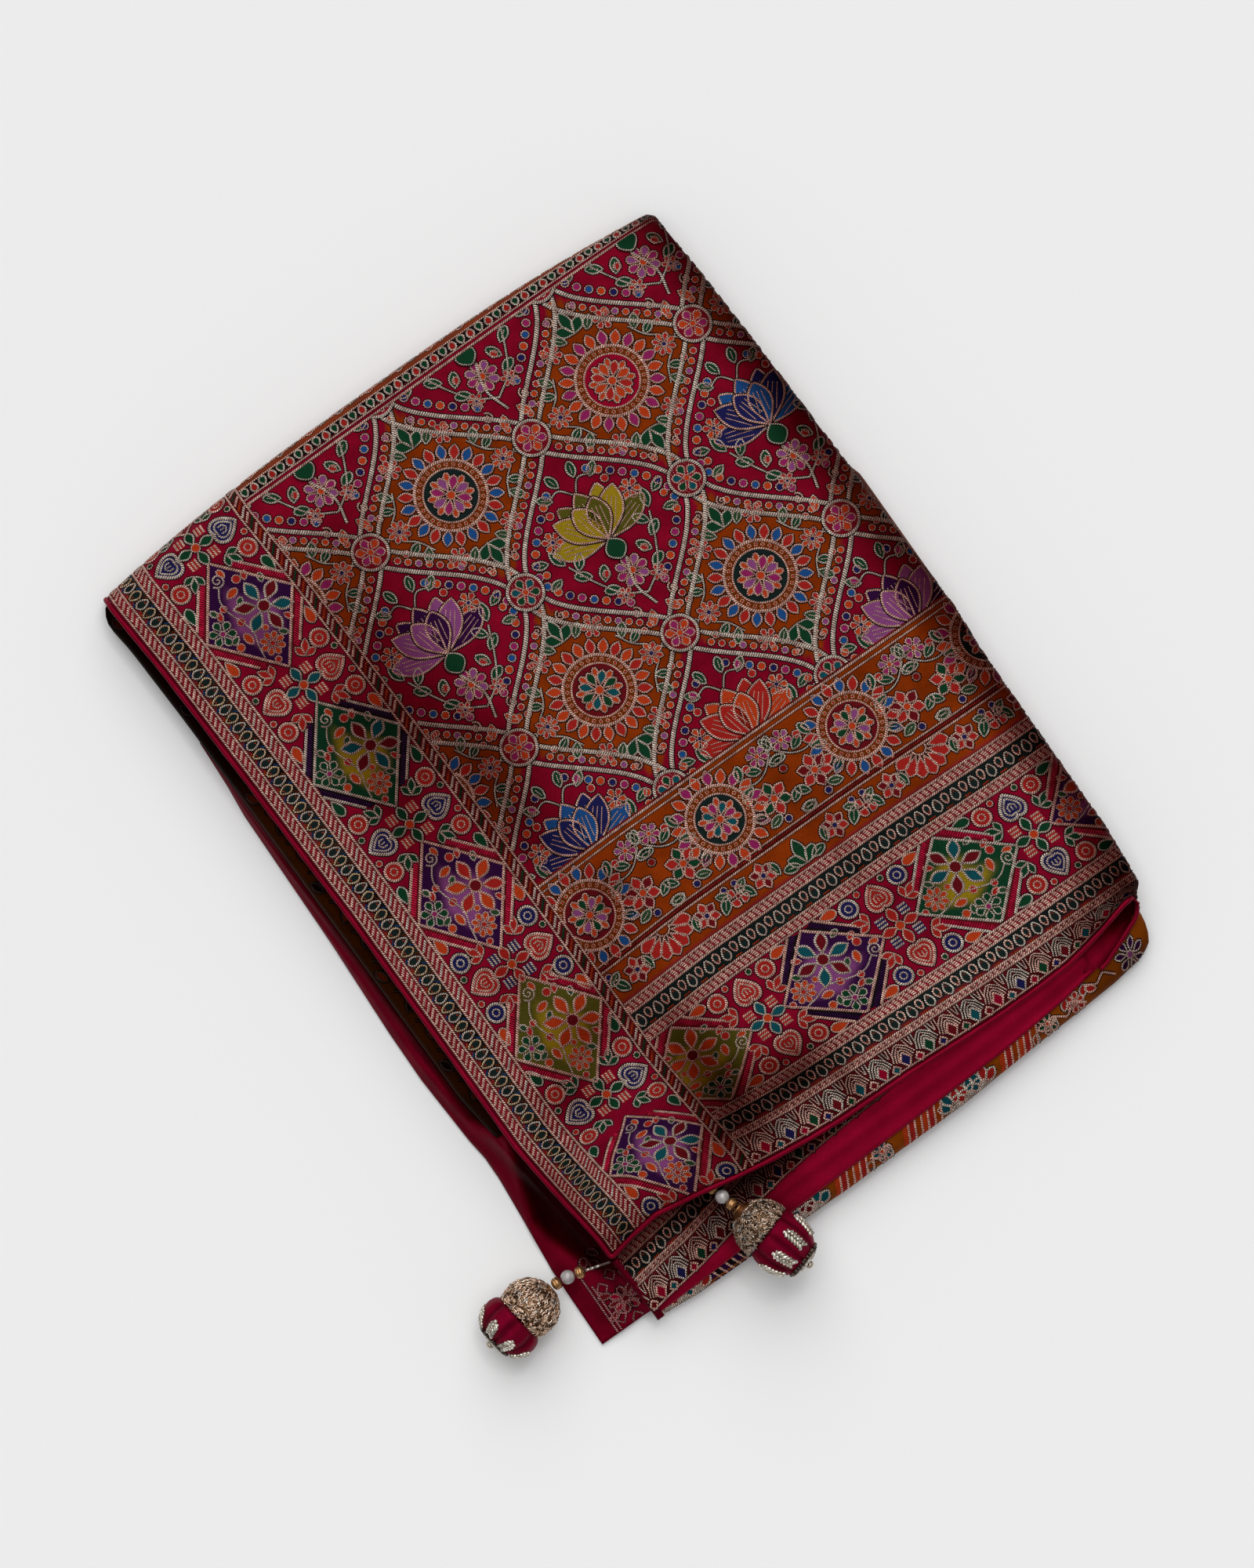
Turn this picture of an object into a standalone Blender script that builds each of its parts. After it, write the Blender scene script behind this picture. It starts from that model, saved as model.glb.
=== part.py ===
"""A folded silk saree lying flat, pallu uppermost, with two stitched latkans on its end.

X runs across the bundle, Y along it away from the pallu's hem, and Z up.
The origin is the centre of the flat underside. Sizes below are in millimetres.
"""

import bpy
import numpy as np

MM = 0.001

# Cloth and clearances
WALL = 1.2
SEAM_GAP = 0.3
LAYER_GAP = 0.6
BODY_GAP = 1.1

# Outer height of the pallu over the bundle, and what lowers it
CROWN_HEIGHT = 30.2
CROWN_ACROSS = 2.6
CROWN_ALONG = 1.6
HALF_WIDTH = 150.0
HALF_LENGTH = 200.0
NEAR_SLOPE_START = -120.0
NEAR_SLOPE_RUN = 75.0
NEAR_SLOPE_DROP = 10.5
LEFT_DROOP = 2.0
CORNER_DROOP = 1.5

# The lifted stretch of the hem, and the dent that the near latkan presses
HEM_LIFT = 5.6
HEM_LIFT_PLACE = (-80.0, -165.0)
HEM_LIFT_REACH = (24.0, 13.0)
DENT = 3.4
DENT_PLACE = (-71.5, -182.0)
DENT_REACH = 13.0

# The fold along the right side and the roll over the far end
NOSE_RADIUS = 3.6
RETURN_REACH = 28.0
FAR_RADIUS = 12.0
FAR_DROP_TO = 2.6

# Columns of the pallu's section: the flat top, then the nose
TOP_COLUMNS = 21
NOSE_STEPS = 8

# Depths of the layers under the pallu's outer face
TUCK_DEPTH = WALL + LAYER_GAP
BAND_DEPTH = TUCK_DEPTH + WALL + LAYER_GAP
BAND_FLOOR = BAND_DEPTH + WALL
NOSE_FLOOR = 2 * NOSE_RADIUS
SELVEDGE_CLEARANCE = 5.5

# Outlines, seen from above: (y, x) down the sides and (x, y) across the ends
PALLU_SELVEDGE = ((-164, -130.0), (-140, -132.4), (-98, -135.6), (-34, -136.0), (19, -136.4),
                  (94, -138.6), (150, -140.6), (192, -143.4))
PALLU_FOLD = ((-172, 139.5), (-161, 144.5), (-134, 146.7), (-40, 147.0), (-20, 148.6),
              (46, 147.0), (106, 145.2), (150, 143.4), (190, 141.0))
PALLU_HEM = ((-132, -161.5), (-118, -158.0), (-104.7, -156.2), (-81, -162.7), (-57, -165.7),
             (-13, -169.0), (32, -168.7), (72, -171.6), (96, -171.0), (113, -168.6),
             (131, -165.0), (141, -164.4))
NOSE_HEM = ((112, -180.4), (124.7, -176.4), (138.7, -170.5), (141, -166.0))
BAND_HEM = ((-131, -193.3), (-83, -191.7), (-27, -189.7), (20, -188.3), (55, -187.3),
            (90, -184.3), (112, -180.4))
TUCK_HEM = ((-130, -192.3), (-104.7, -188.0), (-83, -184.0), (-57, -178.7), (-18, -175.7),
            (8, -170.6))
BODY_LEFT = ((-198, -130.5), (-130, -137.4), (-70, -145.6), (20, -147.6), (150, -149.4),
             (192, -148.6))
BODY_RIGHT = ((-198, 138.0), (-175, 139.6), (-100, 141.6), (-30, 146.0), (10, 149.0),
              (180, 148.6), (192, 145.0))
BODY_NEAR = ((-131, -197.0), (30, -197.8), (90, -195.6), (125, -193.0), (140, -189.6))
BLOUSE_OUTER = ((-191, -156.5), (-150, -155.2), (-120, -154.0), (-92, -151.4), (-67, -154.0),
                (20, -152.0), (60, -151.2))
BLOUSE_FAR = 60.0
BLOUSE_NEAR = -191.0
BLOUSE_ARCH = 0.8
FLOOR_CLEARANCE = 0.45

# Edges of the hidden layers: share of the edge height at a layer's top, then how far
# the layer stands out on the left, right, near and far sides
BODY_LAYERS = (
    # top share, left, right, near, far
    (0.22, 0.0, -1.2, -0.6, -0.6),
    (0.42, -1.0, 0.0, 0.0, -0.4),
    (0.60, -0.4, -0.8, -1.2, -0.8),
    (0.80, -0.2, 0.0, -0.3, -0.4),
    (1.00, -0.6, -1.4, -1.0, -0.4),
)
GROOVE = 1.3
BLOUSE_SHARE = 0.70
SIDE_RADIUS = 4.0

# Latkans: neck and axis, then the lengths of cap and ball
LATKANS = (
    # name, neck (x, y, z), axis (x, y, z), cap length, ball length, ball radius
    ("left", (-159.2, -158.1, 15.9), (-0.990, -0.130, -0.030), 17.8, 16.4, 14.8),
    ("near", (-75.4, -175.6, 26.7), (0.288, -0.955, -0.020), 16.2, 21.6, 14.0),
)
CAP_RADIUS = 12.8
BALL_LOBES = 8
PEARL_RADIUS = 3.1
BEAD_RADIUS = 2.75
BEAD_HALF = 2.1
BEAD_CHAINS = {
    # thread end on the edging, first bead, pearl, second bead
    "left": ((-132.8, -163.5, 20.2), (-145.7, -159.7, 18.3), (-151.1, -158.4, 17.1),
             (-156.6, -157.9, 16.2)),
    "near": ((-80.2, -158.8, 27.9), (-79.0, -163.1, 25.25), (-77.6, -168.4, 25.6),
             (-76.2, -173.2, 26.6)),
}

EDGING_ACROSS = 1.25
EDGING_THICK = 0.85


def clear_scene():
    for obj in list(bpy.data.objects):
        bpy.data.objects.remove(obj, do_unlink=True)


def read(table, at):
    """Value at a place along a two-column outline."""
    places, values = zip(*table)
    return np.interp(at, places, values)


def ramp(low, high, value):
    """Smooth rise from 0 at low to 1 at high."""
    share = np.clip((np.asarray(value, float) - low) / (high - low), 0.0, 1.0)
    return share * share * (3.0 - 2.0 * share)


def far_edge(x):
    """Outer line of the roll at the far end, bowed outwards at the middle."""
    return 198.6 - 7.6 * np.abs((x + 5.0) / 142.0) ** 2.5


def bell(x, y, place, reach_x, reach_y):
    return np.exp(-0.5 * (((x - place[0]) / reach_x) ** 2 + ((y - place[1]) / reach_y) ** 2))


def crown(x, y):
    """Height of the pallu's outer face, before its hem is lifted."""
    z = CROWN_HEIGHT - CROWN_ACROSS * (x / HALF_WIDTH) ** 2 - CROWN_ALONG * (y / HALF_LENGTH) ** 2
    down = np.clip((NEAR_SLOPE_START - y) / NEAR_SLOPE_RUN, 0.0, None)
    z = z - NEAR_SLOPE_DROP * down ** 2
    left = ramp(95.0, 142.0, -x)
    z = z - LEFT_DROOP * left - CORNER_DROOP * left * ramp(115.0, 165.0, -y)
    return z - DENT * bell(x, y, DENT_PLACE, DENT_REACH, DENT_REACH)


def hem_lift(x, y):
    return HEM_LIFT * bell(x, y, HEM_LIFT_PLACE, *HEM_LIFT_REACH)


def band_depth(x):
    """Depth of the return's lower face, which drops to the nose on the right."""
    return BAND_FLOOR + (NOSE_FLOOR - BAND_FLOOR) * ramp(60.0, 108.0, x)


def body_depth(x, y):
    """Depth of the hidden layers' top under the pallu's outer face."""
    shallow = WALL + LAYER_GAP
    deep = band_depth(x) + BODY_GAP
    share = np.maximum(ramp(116.0, 132.0, -y), ramp(82.0, 98.0, x))
    left = SELVEDGE_CLEARANCE * ramp(100.0, 134.0, -x) * ramp(-150.0, -120.0, y)
    return shallow + (deep - shallow) * share + left


def add_solid(name, points, faces, colour, roughness, metallic=0.0):
    """One closed body from points in millimetres, with its own finish."""
    mesh = bpy.data.meshes.new(name)
    mesh.from_pydata([tuple(p * MM for p in point) for point in points], [], faces)
    mesh.validate()
    mesh.shade_smooth()
    obj = bpy.data.objects.new(name, mesh)
    bpy.context.collection.objects.link(obj)
    material = bpy.data.materials.new(name)
    material.use_nodes = True
    shader = material.node_tree.nodes["Principled BSDF"]
    shader.inputs["Base Color"].default_value = (*colour, 1.0)
    shader.inputs["Roughness"].default_value = roughness
    shader.inputs["Metallic"].default_value = metallic
    mesh.materials.append(material)
    return obj


def grid_normals(grid):
    """Outward normals of a grid whose rows run along Y and columns along X."""
    along = np.gradient(grid, axis=0)
    across = np.gradient(grid, axis=1)
    normals = np.cross(across, along)
    return normals / np.linalg.norm(normals, axis=2, keepdims=True)


def cloth_wall(name, grid, colour, roughness):
    """A sheet whose outer face is the grid, closed into a wall behind it."""
    rows, columns = grid.shape[:2]
    inner = grid - WALL * grid_normals(grid)
    points = np.vstack([grid.reshape(-1, 3), inner.reshape(-1, 3)])
    behind = rows * columns

    def at(row, column, side=0):
        return side * behind + row * columns + column

    faces = []
    for i in range(rows - 1):
        for j in range(columns - 1):
            faces.append((at(i, j), at(i, j + 1), at(i + 1, j + 1), at(i + 1, j)))
            faces.append((at(i, j, 1), at(i + 1, j, 1), at(i + 1, j + 1, 1), at(i, j + 1, 1)))
    for i in range(rows - 1):
        faces.append((at(i, 0), at(i + 1, 0), at(i + 1, 0, 1), at(i, 0, 1)))
        last = columns - 1
        faces.append((at(i, last), at(i, last, 1), at(i + 1, last, 1), at(i + 1, last)))
    for j in range(columns - 1):
        faces.append((at(0, j), at(0, j, 1), at(0, j + 1, 1), at(0, j + 1)))
        last = rows - 1
        faces.append((at(last, j), at(last, j + 1), at(last, j + 1, 1), at(last, j, 1)))
    return add_solid(name, points, faces, colour, roughness)


def rings_solid(name, rings, colour, roughness, metallic=0.0):
    """A closed body through rings of equal count, from the first pole to the last."""
    count = len(rings[0])
    points = [np.mean(rings[0], axis=0)]
    for ring in rings:
        points.extend(ring)
    points.append(np.mean(rings[-1], axis=0))
    faces = []
    for k in range(count):
        faces.append((0, 1 + (k + 1) % count, 1 + k))
    for level in range(len(rings) - 1):
        low = 1 + level * count
        high = low + count
        for k in range(count):
            follows = (k + 1) % count
            faces.append((low + k, low + follows, high + follows, high + k))
    top = 1 + (len(rings) - 1) * count
    for k in range(count):
        faces.append((top + k, top + (k + 1) % count, len(points) - 1))
    return add_solid(name, points, faces, colour, roughness, metallic)


def pallu_section(y):
    """Places across the pallu: (x, depth) for the top, the nose and the return."""
    left = read(PALLU_SELVEDGE, y)
    nose = read(PALLU_FOLD, y) - NOSE_RADIUS
    shares = np.linspace(0.0, 1.0, TOP_COLUMNS)
    places = [(left + (nose - left) * s, 0.0) for s in shares]
    for angle in np.linspace(0.0, np.pi, NOSE_STEPS + 1)[1:]:
        places.append((nose + NOSE_RADIUS * np.sin(angle), NOSE_RADIUS * (1 - np.cos(angle))))
    for step in (0.4, 1.0):
        places.append((nose - step * RETURN_REACH, NOSE_FLOOR))
    return places


def pallu_hem_y(column, x):
    """Y of the hem at a column of the section, skewed round the nose."""
    to_tip = NOSE_STEPS // 2
    past_top = column - TOP_COLUMNS + 1
    if past_top <= 0:
        return read(PALLU_HEM, x)
    if past_top <= to_tip:
        share = past_top / to_tip
        return PALLU_HEM[-1][1] + share * (NOSE_HEM[-1][1] - PALLU_HEM[-1][1])
    return read(NOSE_HEM, x)


def pallu_grid():
    """Outer face of the pallu, hem to far end, selvedge to return."""
    columns = len(pallu_section(0.0))
    along = np.concatenate([np.linspace(0.0, 0.16, 7), np.linspace(0.16, 1.0, 15)[1:]])
    rows = []
    for share in along:
        row = []
        for j in range(columns):
            y = -165.0
            for _ in range(3):
                x, depth = pallu_section(y)[j]
                hem = pallu_hem_y(j, x)
                y = hem + share * (far_edge(x) - FAR_RADIUS - hem)
            z = crown(x, y) - depth
            if depth == 0.0:
                z += hem_lift(x, y)
            row.append((x, y, z))
        rows.append(row)
    for turn in np.linspace(0.0, np.pi / 2, 8)[1:]:
        rows.append([far_point(j, turn, 0.0) for j in range(columns)])
    rows.append([far_point(j, np.pi / 2, 0.5) for j in range(columns)])
    rows.append([far_point(j, np.pi / 2, 1.0) for j in range(columns)])
    return np.array(rows, float)


def far_point(column, turn, drop_share):
    """A point of the section carried round the far roll, then down the end."""
    x, depth = pallu_section(far_edge(0.0) - FAR_RADIUS)[column]
    edge = far_edge(x)
    height = crown(x, edge - FAR_RADIUS)
    radius = FAR_RADIUS - depth
    y = edge - FAR_RADIUS + radius * np.sin(turn)
    z = height - FAR_RADIUS + radius * np.cos(turn)
    return (x, y, z - drop_share * (z - FAR_DROP_TO))


def make_pallu():
    grid = pallu_grid()
    cloth_wall("pallu_panel", grid, (0.35, 0.02, 0.09), 0.5)
    return grid


def tube(name, path, normals, across, thick, colour, roughness, metallic=0.0, sides=6):
    """A closed tube with an oval section, its ends capped."""
    path = np.asarray(path, float)
    tangents = np.gradient(path, axis=0)
    tangents /= np.linalg.norm(tangents, axis=1, keepdims=True)
    outs = np.cross(tangents, normals)
    outs /= np.linalg.norm(outs, axis=1, keepdims=True)
    ups = np.cross(outs, tangents)
    rings = []
    for centre, out, up in zip(path, outs, ups):
        angles = np.arange(sides) * 2 * np.pi / sides
        rings.append([centre - across * np.cos(a) * out + thick * np.sin(a) * up for a in angles])
    return rings_solid(name, rings, colour, roughness, metallic)


def make_edging(grid):
    """Rolled edging: down the selvedge, round the corner, along the hem and round the nose."""
    normals = grid_normals(grid)
    middle = grid - 0.5 * WALL * normals
    step_out = EDGING_ACROSS + SEAM_GAP
    side_out = middle[:, 0] - middle[:, 1]
    side_out /= np.linalg.norm(side_out, axis=1, keepdims=True)
    side = middle[:, 0] + step_out * side_out
    hem_out = middle[0] - middle[1]
    along = np.gradient(middle[0], axis=0)
    along /= np.linalg.norm(along, axis=1, keepdims=True)
    hem_out -= np.sum(hem_out * along, axis=1, keepdims=True) * along
    hem_out /= np.linalg.norm(hem_out, axis=1, keepdims=True)
    hem = (middle[0] + step_out * hem_out)[:-1]
    corner = middle[0, 0] + 0.85 * step_out * (side_out[0] + hem_out[0])
    path = np.vstack([side[::-1], corner[None], hem])
    ups = np.vstack([normals[::-1, 0], normals[:1, 0], normals[0, :-1]])
    tube("pallu_edging", path, ups, EDGING_ACROSS, EDGING_THICK, (0.42, 0.01, 0.12), 0.45)


def strip_grid(table, hidden_y, x_left, x_right, depth, columns, rows):
    """Outer face of a layer that shows as a strip along the near edge."""
    grid = []
    for share in np.linspace(0.0, 1.0, rows):
        row = []
        for x in np.linspace(x_left, x_right, columns):
            hem = read(table, x)
            y = hem + share * (hidden_y - hem)
            row.append((x, y, crown(x, y) - depth(x)))
        grid.append(row)
    return np.array(grid, float)


def make_return_band():
    """The return under the pallu, reverse side out, from the nose leftwards."""
    right = read(PALLU_FOLD, -172.0) - NOSE_RADIUS - RETURN_REACH - SEAM_GAP
    grid = strip_grid(BAND_HEM, -140.0, -130.6, right, lambda x: band_depth(x) - WALL, 22, 6)
    cloth_wall("pallu_return", grid, (0.45, 0.01, 0.14), 0.55)


def make_tuck():
    """The tucked stretch of the pallu's end border, under the lifted hem."""
    grid = strip_grid(TUCK_HEM, -146.0, -130.4, 6.0, lambda x: TUCK_DEPTH, 16, 6)
    cloth_wall("pallu_tuck", grid, (0.40, 0.10, 0.10), 0.55)


def unit_outline():
    """Points round a rounded rectangle, as shares of its half sides, with side numbers."""
    corner = 0.055
    points = []
    sides = (
        # start, end, count
        ((1, -1 + corner), (1, 1 - corner), 14),
        ((1 - corner, 1), (-1 + corner, 1), 12),
        ((-1, 1 - corner), (-1, -1 + corner), 14),
        ((-1 + corner, -1), (1 - corner, -1), 14),
    )
    for start, end, count in sides:
        for share in np.linspace(0.0, 1.0, count):
            points.append(tuple(np.array(start) * (1 - share) + np.array(end) * share))
        centre = np.clip(end, -1 + corner, 1 - corner)
        points.append(tuple(centre + np.sign(end) * corner * np.sqrt(0.5)))
    return np.array(points)


def body_point(share_x, share_y, inset, stand):
    """Place in the bundle's outline, moved in by inset and out by stand, in X and Y."""
    x = share_x * HALF_WIDTH
    y = share_y * HALF_LENGTH
    for _ in range(4):
        left, right = read(BODY_LEFT, y), read(BODY_RIGHT, y)
        near = read(BODY_NEAR, x)
        far = far_edge(x) - body_depth(x, 150.0)
        keep_x = 1.0 - inset / HALF_WIDTH
        keep_y = 1.0 - inset / HALF_LENGTH
        x = 0.5 * (left + right) + 0.5 * (right - left) * share_x * keep_x
        y = 0.5 * (near + far) + 0.5 * (far - near) * share_y * keep_y
    left_out, right_out, near_out, far_out = stand
    x += np.clip(share_x, 0, 1) ** 8 * right_out - np.clip(-share_x, 0, 1) ** 8 * left_out
    y += np.clip(share_y, 0, 1) ** 8 * far_out - np.clip(-share_y, 0, 1) ** 8 * near_out
    return x, y


def rounding(radius, inside):
    """How far an edge rounded to this radius lies below its top, this far inside it."""
    reach = np.clip(radius - inside, 0.0, radius)
    return radius - np.sqrt(radius ** 2 - reach ** 2)


def body_top(x, y):
    """Top of the hidden layers, rounded down to their outline."""
    depth = body_depth(x, y)
    far_radius = FAR_RADIUS - body_depth(x, 150.0)
    inside_far = far_edge(x) - body_depth(x, 150.0) - y
    drops = (
        rounding(far_radius, inside_far),
        rounding(SIDE_RADIUS, x - read(BODY_LEFT, y)),
        rounding(SIDE_RADIUS, read(BODY_RIGHT, y) - x),
        rounding(SIDE_RADIUS, y - read(BODY_NEAR, x)),
    )
    return crown(x, y) - depth - max(drops)


def make_body():
    """The hidden layers as one rounded solid, layered at its edges."""
    outline = unit_outline()
    edge = []
    for share_x, share_y in outline:
        x, y = body_point(share_x, share_y, 0.0, (0, 0, 0, 0))
        edge.append(body_top(x, y))
    rings = []

    def wall_ring(share, stand):
        ring = []
        for (share_x, share_y), height in zip(outline, edge):
            x, y = body_point(share_x, share_y, 0.0, stand)
            ring.append((x, y, share * height))
        rings.append(np.array(ring))

    low = 0.0
    for top, *stand in BODY_LAYERS:
        tall = top - low
        grooved = tuple(out - GROOVE for out in stand)
        wall_ring(low + (0.04 * tall if low else 0.0), grooved)
        wall_ring(low + 0.30 * tall, stand)
        wall_ring(low + 0.75 * tall, stand)
        low = top
    for inset in (0.4, 1.4, 3.2, 6.0, 10.0, 15.0, 22.0, 32.0, 46.0, 64.0, 90.0, 120.0):
        ring = []
        for share_x, share_y in outline:
            x, y = body_point(share_x, share_y, inset, (0, 0, 0, 0))
            ring.append((x, y, body_top(x, y)))
        rings.append(np.array(ring))
    rings_solid("body_folds", rings, (0.36, 0.14, 0.03), 0.6)


def body_edge_height(y):
    return body_top(read(BODY_LEFT, y), y)


def make_blouse_end():
    """Running blouse end: tucked in the left side, falling to the floor."""
    grid = []
    for y in np.linspace(BLOUSE_NEAR, BLOUSE_FAR, 25):
        inner = read(BODY_LEFT, y) - SEAM_GAP - WALL
        outer = read(BLOUSE_OUTER, y)
        high = BLOUSE_SHARE * body_edge_height(y) + 0.5 * WALL
        low = WALL + FLOOR_CLEARANCE
        row = []
        for share in np.linspace(0.0, 1.0, 6):
            x = outer + (inner - outer) * share
            arch = BLOUSE_ARCH * np.sin(np.pi * share) * (1 - share)
            row.append((x, y, low + (high - low) * share ** 0.8 + arch))
        grid.append(row)
    cloth_wall("blouse_end", np.array(grid, float), (0.42, 0.01, 0.10), 0.5)


def axis_frame(axis):
    """Unit axis and two directions square to it."""
    axis = np.array(axis, float)
    axis /= np.linalg.norm(axis)
    side = np.cross(axis, (0.0, 0.0, 1.0))
    side /= np.linalg.norm(side)
    return axis, side, np.cross(side, axis)


def turned(name, centre, axis, profile, sides, colour, roughness, metallic=0.0, lobes=0, depth=0.0):
    """A turned body: profile rows are (distance along the axis, radius)."""
    axis, side, up = axis_frame(axis)
    centre = np.array(centre, float)
    rings = []
    for along, radius in profile:
        ring = []
        for k in range(sides):
            angle = 2 * np.pi * k / sides
            reach = radius * (1 + depth * np.cos(lobes * angle))
            out = np.cos(angle) * side + np.sin(angle) * up
            ring.append(centre + along * axis + reach * out)
        rings.append(ring[::-1])
    return rings_solid(name, rings, colour, roughness, metallic)


def bead_profile(half, radius, steps):
    """Rows of a round bead, from one end of its axis to the other."""
    angles = np.linspace(0.0, np.pi, steps + 2)[1:-1]
    return [(-half * np.cos(a), radius * np.sin(a)) for a in angles]


def cap_profile(length):
    rows = ((0.0, 2.2), (0.10, 2.7), (0.20, 4.6), (0.34, 7.6), (0.52, 10.3), (0.74, 12.2),
            (0.92, CAP_RADIUS), (1.0, CAP_RADIUS - 0.3))
    return [(share * length, radius) for share, radius in rows]


def ball_profile(start, length, radius):
    """From the flat back inside the cap's rim to the far end."""
    rows = [(start, CAP_RADIUS - 0.6)]
    widest = start + 0.30 * length
    rows.append((start + 0.12 * length, 0.95 * radius))
    for angle in np.linspace(0.0, 0.5 * np.pi, 8)[:-1]:
        rows.append((widest + 0.70 * length * np.sin(angle), radius * np.cos(angle) ** 0.8))
    return rows


def make_latkan(name, neck, axis, cap_length, ball_length, ball_radius):
    """One latkan: thread, gold bead, pearl, gold bead, cap, ball and end knob."""
    thread_end, first_bead, pearl, second_bead = (np.array(p) for p in BEAD_CHAINS[name])
    label = "latkan_" + name
    gold = (0.50, 0.30, 0.12)
    reach = first_bead - thread_end
    reach /= np.linalg.norm(reach)
    stop = first_bead - (BEAD_HALF + SEAM_GAP) * reach
    middle = 0.5 * (thread_end + stop) - np.array((0, 0, 0.5))
    up = np.tile((0.0, 0.0, 1.0), (3, 1))
    tube(label + "_thread", [thread_end, middle, stop], up, 0.55, 0.55, (0.6, 0.57, 0.5), 0.4, 0.4)
    turned(label + "_bead_1", first_bead, pearl - first_bead,
           bead_profile(BEAD_HALF, BEAD_RADIUS, 5), 10, gold, 0.25, 1.0)
    turned(label + "_pearl", pearl, second_bead - pearl,
           bead_profile(PEARL_RADIUS, PEARL_RADIUS, 7), 12, (0.8, 0.76, 0.74), 0.2)
    turned(label + "_bead_2", second_bead, np.array(neck) - pearl,
           bead_profile(BEAD_HALF, BEAD_RADIUS, 5), 10, gold, 0.25, 1.0)
    turned(label + "_cap", neck, axis, cap_profile(cap_length), 24, (0.45, 0.36, 0.25), 0.4, 0.8)
    start = cap_length + SEAM_GAP
    turned(label + "_ball", neck, axis, ball_profile(start, ball_length, ball_radius), 32,
           (0.40, 0.01, 0.10), 0.6, 0.0, BALL_LOBES, 0.03)
    knob = np.array(neck) + axis_frame(axis)[0] * (start + 0.985 * ball_length + 1.9)
    turned(label + "_knob", knob, axis, bead_profile(1.4, 1.9, 4), 10, (0.5, 0.46, 0.38), 0.35, 0.6)


def build():
    clear_scene()
    grid = make_pallu()
    make_edging(grid)
    make_return_band()
    make_tuck()
    make_body()
    make_blouse_end()
    for row in LATKANS:
        make_latkan(*row)


build()
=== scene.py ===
# %% [markdown]
# # A folded silk saree, dressed
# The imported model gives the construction: a folded bundle of cloth, the pallu on top and two latkans on
# threads. This lesson gives it its looks: the woven silk, the raised zari outlines, the satin edging and
# the stitched beads. The frame is loaded first, because every piece below takes its place from it.

# %% Load the frame
import math
import bpy
import numpy as np
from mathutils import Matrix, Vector


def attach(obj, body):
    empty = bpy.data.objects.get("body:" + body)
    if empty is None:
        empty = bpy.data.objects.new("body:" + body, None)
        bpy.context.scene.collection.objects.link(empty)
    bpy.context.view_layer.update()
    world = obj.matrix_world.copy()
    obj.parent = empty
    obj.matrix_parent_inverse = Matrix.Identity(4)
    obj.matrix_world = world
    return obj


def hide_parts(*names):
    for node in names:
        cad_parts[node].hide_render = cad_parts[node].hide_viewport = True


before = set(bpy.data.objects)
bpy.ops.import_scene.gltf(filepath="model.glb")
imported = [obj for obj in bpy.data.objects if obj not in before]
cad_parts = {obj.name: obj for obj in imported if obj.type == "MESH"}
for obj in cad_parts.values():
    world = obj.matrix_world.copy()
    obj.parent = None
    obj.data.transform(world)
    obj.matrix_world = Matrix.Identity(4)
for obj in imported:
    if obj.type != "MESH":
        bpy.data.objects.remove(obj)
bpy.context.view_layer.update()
print("nodes:", len(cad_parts))

# %% [markdown]
# The drawing is done in millimetres, as a weaver would think of it, and turned into metres only when a
# mesh is made. Random numbers come from one seeded source, so that each run weaves the same cloth.

# %% Units and chance
MM = 0.001
SEED = 41
BODY = "root"
chance = np.random.default_rng(SEED)


def metres(points):
    """Millimetres to metres."""
    return np.asarray(points, float) * MM


def columns(*parts):
    """Equal lists side by side, one row for each place."""
    return np.stack(parts, axis=1)


def unit_rows(rows):
    """Directions brought to length one."""
    return rows / np.maximum(np.linalg.norm(rows, axis=-1, keepdims=True), 1e-9)


def travelled(path):
    """How far along its path each point lies."""
    return np.concatenate([[0.0], np.cumsum(np.linalg.norm(np.diff(path, axis=0), axis=1))])


print("seed:", SEED)


# %% [markdown]
# The saree lies flat and the photographer stands over it, looking straight down with a long lens. The
# bundle is turned on the floor, so the camera is rolled by the same angle instead: the cloth stays square
# to its own axes. A long lens far away keeps the sides parallel.

# %% Camera
FRAME_HEIGHT = 666.7
TOP_PLANE = 25.0
LENS = 240.0
SENSOR = 36.0
ROLL = math.radians(-35.45)
AIM = (-8.75, -1.95)


def make_camera():
    data = bpy.data.cameras.new("camera")
    data.lens = LENS
    data.sensor_width = SENSOR
    data.clip_end = 10.0
    camera = bpy.data.objects.new("camera", data)
    distance = LENS / SENSOR * FRAME_HEIGHT
    camera.location = metres((*AIM, TOP_PLANE + distance))
    camera.rotation_euler = (0.0, 0.0, ROLL)
    bpy.context.scene.collection.objects.link(camera)
    bpy.context.scene.camera = camera
    return camera


camera = make_camera()
print("camera height:", round(camera.location.z, 3), "m")

# %% [markdown]
# The light is a plain soft studio: a pale dome all round and three lamps. A broad one beyond the top of the
# picture rakes over the raised thread and lays a soft shadow towards the viewer. A soft box overhead makes
# the zari shine where it lies flat and go dark where a fold tips it away. A small weak one gives the beads
# their sparks. Plain colour management keeps a pale floor pale and the dark silks deep.

# %% Light and floor
DOME_STRENGTH = 0.33
LAMPS = (
    # name, bearing in the picture (90 is its top), tilt off the vertical, spread, strength
    ("key", 97.0, 42.0, 60.0, 1.62),
    ("overhead", 90.0, 3.0, 46.0, 0.86),
    ("spark", 75.0, 24.0, 7.0, 0.16),
)
FLOOR_SHADE = (0.812, 0.812, 0.812, 1.0)
FLOOR_HALF = 3.0


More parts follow.
